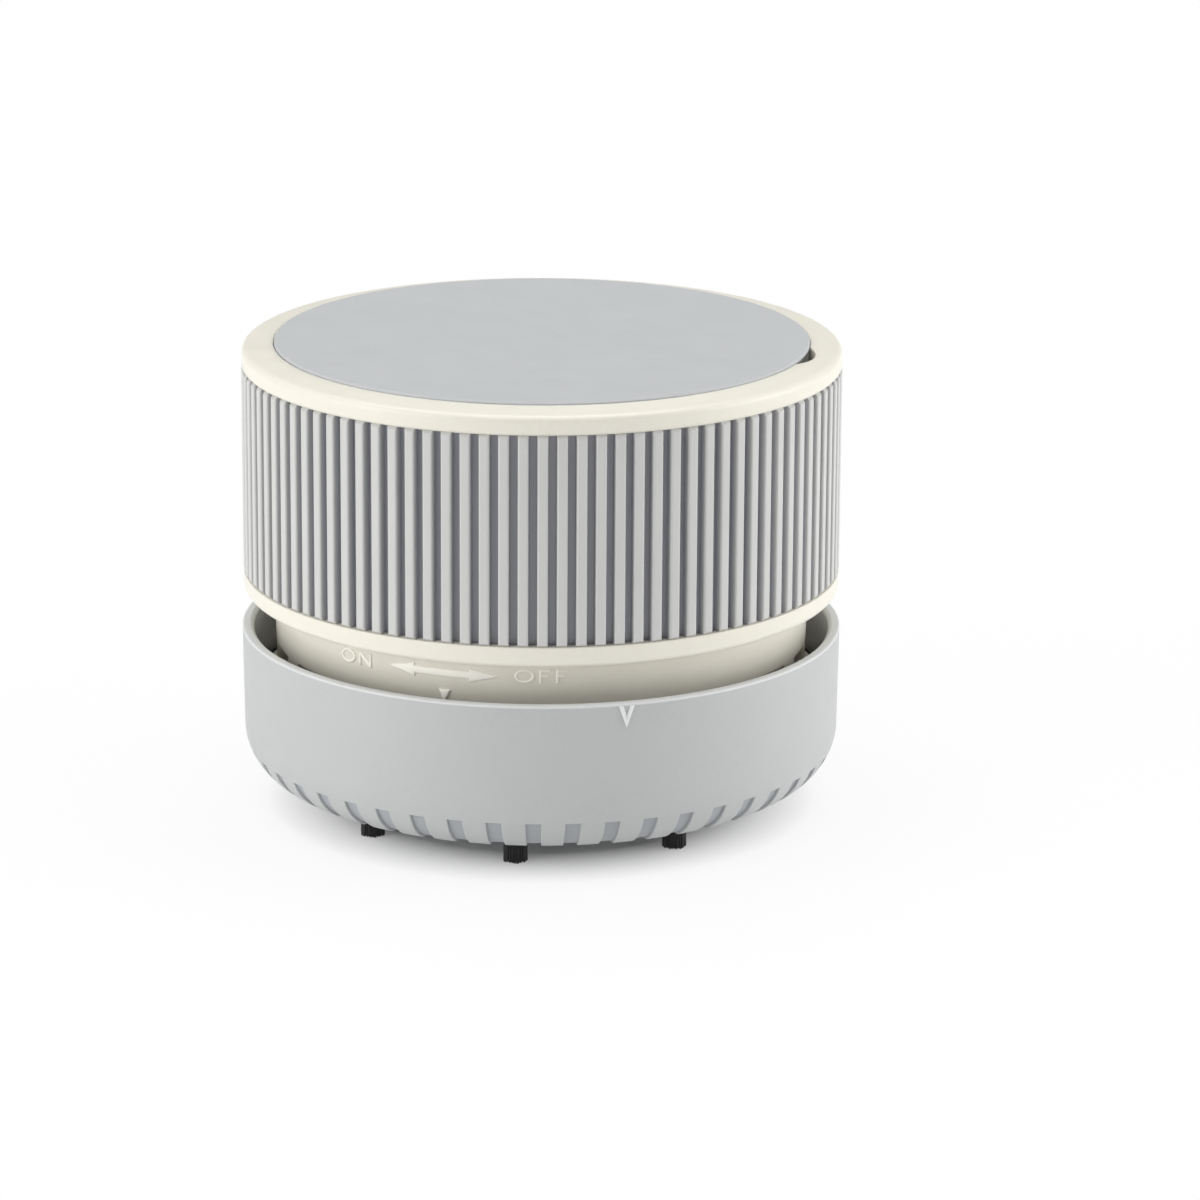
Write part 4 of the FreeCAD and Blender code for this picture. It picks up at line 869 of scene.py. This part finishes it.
def make_top_ring():
    outer = ring_high.x
    base = shell_high.z
    top = ring_high.z
    seat = lid_high.x + lid_gap
    ledge = base + cap_ledge_thick
    shoulder = outer - cap_round
    turns = ring_turns(seat)
    rows = []

    def plain(places):
        for radius, height in places:
            rows.append([point(radius, turn, height) for turn, _ in turns])

    def split(place, scooped_height, scooped_radius=None):
        """Row with a place of its own in the scoop, by default on the scoop's wall."""
        row = []
        for turn, scooped in turns:
            radius, height = place
            if scooped:
                radius = scooped_radius or scoop_radius(turn)
                height = scooped_height
            row.append(point(radius, turn, height))
        rows.append(row)

    def sloped(turn, share):
        """Height of the sloping top at a share of the way from its shoulder to the seat."""
        return top - cap_fall + cap_fall * share * (shoulder - scoop_radius(turn)) / (shoulder - seat)

    plain([(outer - ring_edge, base), (outer, base + ring_edge)])
    plain(run((outer, base + ring_edge), (outer, base + cap_side), 3)[1:])
    fillet = arc(shoulder, base + cap_side, cap_round, 0, 90, 8)
    reach = (top - cap_fall - base - cap_side) / cap_round
    plain([(radius, base + cap_side + (height - base - cap_side) * reach) for radius, height in fillet][1:])
    for share in slope_shares:
        rows.append([
            point(shoulder - (shoulder - scoop_radius(turn) - edge_soft) * share, turn, sloped(turn, share))
            for turn, _ in turns
        ])
    for step in range(4):
        angle = math.radians(30 * step)
        inward = edge_soft * (1 - math.sin(angle))
        drop = edge_soft * (1 - math.cos(angle))
        rows.append([point(scoop_radius(turn) + inward, turn, sloped(turn, 1) - drop) for turn, _ in turns])
    split((seat, ledge), base)
    split((seat - cap_ledge_lap, ledge), base, skirt_bore)
    split((seat - cap_ledge_lap, base), base - seam_step, skirt_bore)
    split((skirt_bore, base), base - 2 * seam_step, skirt_bore)
    plain([
        (skirt_bore, ring_low.z),
        (skirt_bore + cap_skirt, ring_low.z),
        (skirt_bore + cap_skirt, base),
    ])
    points, faces = loft(rows)
    add_piece("cap_ring", points, faces, "head", "case_ivory", ["top_ring"])


def finger_share(turn):
    """Share of the finger hollow's depth at a turn, widest at the scoop."""
    away = abs((turn - scoop_turn + 180) % 360 - 180)
    return max(0.0, 1 - (away / finger_half_turn) ** 4)


def add_lugs(points, faces, plate):
    """Curved lugs below the lid's plate, added to its points and faces."""
    outer = lid_high.x + lid_gap - cap_ledge_lap - lug_gap
    inner = outer - lug_wall
    half_turn = math.degrees(lug_length / 2 / outer)
    steps = 12
    for middle in even_turns(lug_count):
        first = len(points)
        last = first + steps * 4
        for step in range(steps + 1):
            turn = middle - half_turn + 2 * half_turn * step / steps
            corners = ((inner, plate), (inner, lid_low.z), (outer, lid_low.z), (outer, plate))
            points.extend(point(radius, turn, height) for radius, height in corners)
        for here in range(first, last, 4):
            for side in range(4):
                after = (side + 1) % 4
                faces.append((here + side, here + after, here + 4 + after, here + 4 + side))
        faces.append(tuple(range(first, first + 4)))
        faces.append(tuple(range(last, last + 4)))


def make_lid():
    top = lid_high.z
    outer = lid_high.x
    plate = top - lid_thick
    rim_base = shell_high.z + cap_ledge_thick + snug_gap
    rows = []

    def round_row(radius, height, hollow=0.0):
        rows.append([point(radius - hollow * finger_share(turn), turn, height) for turn in even_turns(360)])

    round_row(lid_pole, plate)
    round_row(outer - lid_wall, plate)
    round_row(outer - lid_wall, rim_base)
    round_row(outer, rim_base, finger_depth)
    round_row(outer, top - finger_roof, finger_depth)
    round_row(outer, top - finger_roof)
    round_row(outer, top - lid_bevel)
    for radius, height in run((outer, top - lid_bevel), (outer - lid_bevel, top), 3)[1:]:
        round_row(radius, height)
    for radius, height in run((outer - lid_bevel, top), (lid_pole, top), 12)[1:]:
        round_row(radius, height)
    points, faces = loft(rows)
    add_lugs(points, faces, plate)
    add_piece("lid", points, faces, "lid", "lid_grey", ["top_lid"])


def add_filament(points, faces, middle, across, along):
    """One bristle, slightly out of true and uneven in length."""
    lean = 1 + bristle_flare / tuft_radius * random.uniform(0.4, 1.0)
    tip = tuft_low.z + random.uniform(0.0, bristle_uneven)
    first = len(points)
    for height, scale, spread in (
        (tuft_high.z - bristle_sink, 1.0, 1.0),
        (tuft_low.z + bristle_straight, 1.0, lean ** 0.5),
        (tip, 0.8, lean),
    ):
        for side in range(bristle_sides):
            angle = turn_of_circle * side / bristle_sides
            points.append((
                middle.x + across * spread + bristle_radius * scale * math.cos(angle),
                middle.y + along * spread + bristle_radius * scale * math.sin(angle),
                height,
            ))
    for here in (first, first + bristle_sides):
        there = here + bristle_sides
        for side in range(bristle_sides):
            after = (side + 1) % bristle_sides
            faces.append((here + side, here + after, there + after, there + side))
    last = first + 2 * bristle_sides
    faces.append(tuple(range(first, first + bristle_sides)))
    faces.append(tuple(range(last, last + bristle_sides)))


def make_bristles():
    """Round bundles of filaments on hexagonal places."""
    random.seed(8)
    points = []
    faces = []
    spacing = bristle_radius * bristle_spacing_share
    rows = int(tuft_radius / spacing) + 1
    for turn in even_turns(tuft_count, tuft_turn):
        middle = point(tuft_circle, turn, 0)
        for row in range(-rows, rows + 1):
            along = row * spacing * hexagon_share
            for column in range(-rows, rows + 1):
                across = (column + row % 2 / 2) * spacing
                if math.hypot(across, along) <= tuft_radius - bristle_radius - bristle_flare:
                    add_filament(points, faces, middle, across, along)
    add_piece("bristles", points, faces, "base", "bristle_black", ["brush_tufts"])


def make_floor():
    """Pale floor that shows white to the camera and keeps the shadow."""
    mesh = bpy.data.meshes.new("floor")
    corners = [(across * floor_half, along * floor_half, 0) for across, along in floor_corner_shares]
    mesh.from_pydata(corners, [], [(0, 1, 2, 3)])
    floor = bpy.data.objects.new("floor", mesh)
    bpy.context.scene.collection.objects.link(floor)
    shader = Shader("floor_white")
    path = shader.add("ShaderNodeLightPath")
    seen = shader.reckon("MAXIMUM", path.outputs["Is Camera Ray"], path.outputs["Is Glossy Ray"])
    seen = shader.reckon("MAXIMUM", seen, path.outputs["Is Transmission Ray"])
    reach = shader.length(shader.place)
    near = shader.stretch(reach, *(bowl_high.x * share for share in near_fade_shares))
    far = shader.stretch(reach, *(bowl_high.x * share for share in far_fade_shares), glow_share, 1.0)
    glowing = shader.reckon("MULTIPLY", seen, shader.reckon("MULTIPLY", near, far))
    diffuse = shader.add("ShaderNodeBsdfDiffuse", Color=(0.90, 0.90, 0.90, 1.0))
    glow = shader.add("ShaderNodeEmission", Color=(1.0, 1.0, 1.0, 1.0), Strength=1.0)
    blend = shader.add("ShaderNodeMixShader")
    shader.fill(blend.inputs[0], glowing)
    shader.fill(blend.inputs[1], diffuse.outputs[0])
    shader.fill(blend.inputs[2], glow.outputs[0])
    shader.fill(shader.out.inputs["Surface"], blend.outputs[0])
    floor.data.materials.append(shader.material)


def make_world():
    """Soft even light that the camera sees as white."""
    world = bpy.data.worlds.new("studio")
    bpy.context.scene.world = world
    world.use_nodes = True
    nodes = world.node_tree.nodes
    links = world.node_tree.links
    nodes.clear()
    out = nodes.new("ShaderNodeOutputWorld")
    path = nodes.new("ShaderNodeLightPath")
    blend = nodes.new("ShaderNodeMixShader")
    links.new(path.outputs["Is Camera Ray"], blend.inputs[0])
    for number, strength in ((1, world_light), (2, 1.0)):
        light = nodes.new("ShaderNodeBackground")
        light.inputs["Color"].default_value = (1.0, 1.0, 1.0, 1.0)
        light.inputs["Strength"].default_value = strength
        links.new(light.outputs[0], blend.inputs[number])
    links.new(blend.outputs[0], out.inputs["Surface"])


def add_lamp(name, turn, rise, distance, width, height, power):
    """Soft box aimed at the object from a turn and a rise in degrees."""
    data = bpy.data.lights.new(name, "AREA")
    data.shape = "RECTANGLE"
    data.size = width
    data.size_y = height
    data.energy = power
    lamp = bpy.data.objects.new(name, data)
    bpy.context.scene.collection.objects.link(lamp)
    flat = math.cos(math.radians(rise)) * distance
    lamp.location = point(flat, turn, math.sin(math.radians(rise)) * distance)
    aim = Vector((0, 0, lamp_target)) - lamp.location
    lamp.rotation_euler = aim.to_track_quat("-Z", "Y").to_euler()


def make_camera():
    data = bpy.data.cameras.new("camera")
    camera = bpy.data.objects.new("camera", data)
    bpy.context.scene.collection.objects.link(camera)
    bpy.context.scene.camera = camera
    data.sensor_width = camera_sensor
    data.lens = camera_lens
    data.shift_x = camera_shift_x
    data.shift_y = camera_shift_y
    data.clip_start = camera_near
    data.clip_end = camera_far
    away = camera_distance * math.cos(camera_rise)
    camera.location = point(away, 0, camera_target + camera_distance * math.sin(camera_rise))
    aim = Vector((0, 0, camera_target)) - camera.location
    camera.rotation_euler = aim.to_track_quat("-Z", "Y").to_euler()
    camera.rotation_euler.rotate_axis("Z", camera_roll)


dress_nodes()
make_bowl()
make_bowl_mark()
make_words()
make_arrow()
make_index()
make_top_ring()
make_lid()
make_bristles()
make_floor()
make_world()
for box_name, box_sizes in soft_boxes.items():
    add_lamp(box_name, *box_sizes)
make_camera()

bpy.context.scene.view_settings.view_transform = "Standard"
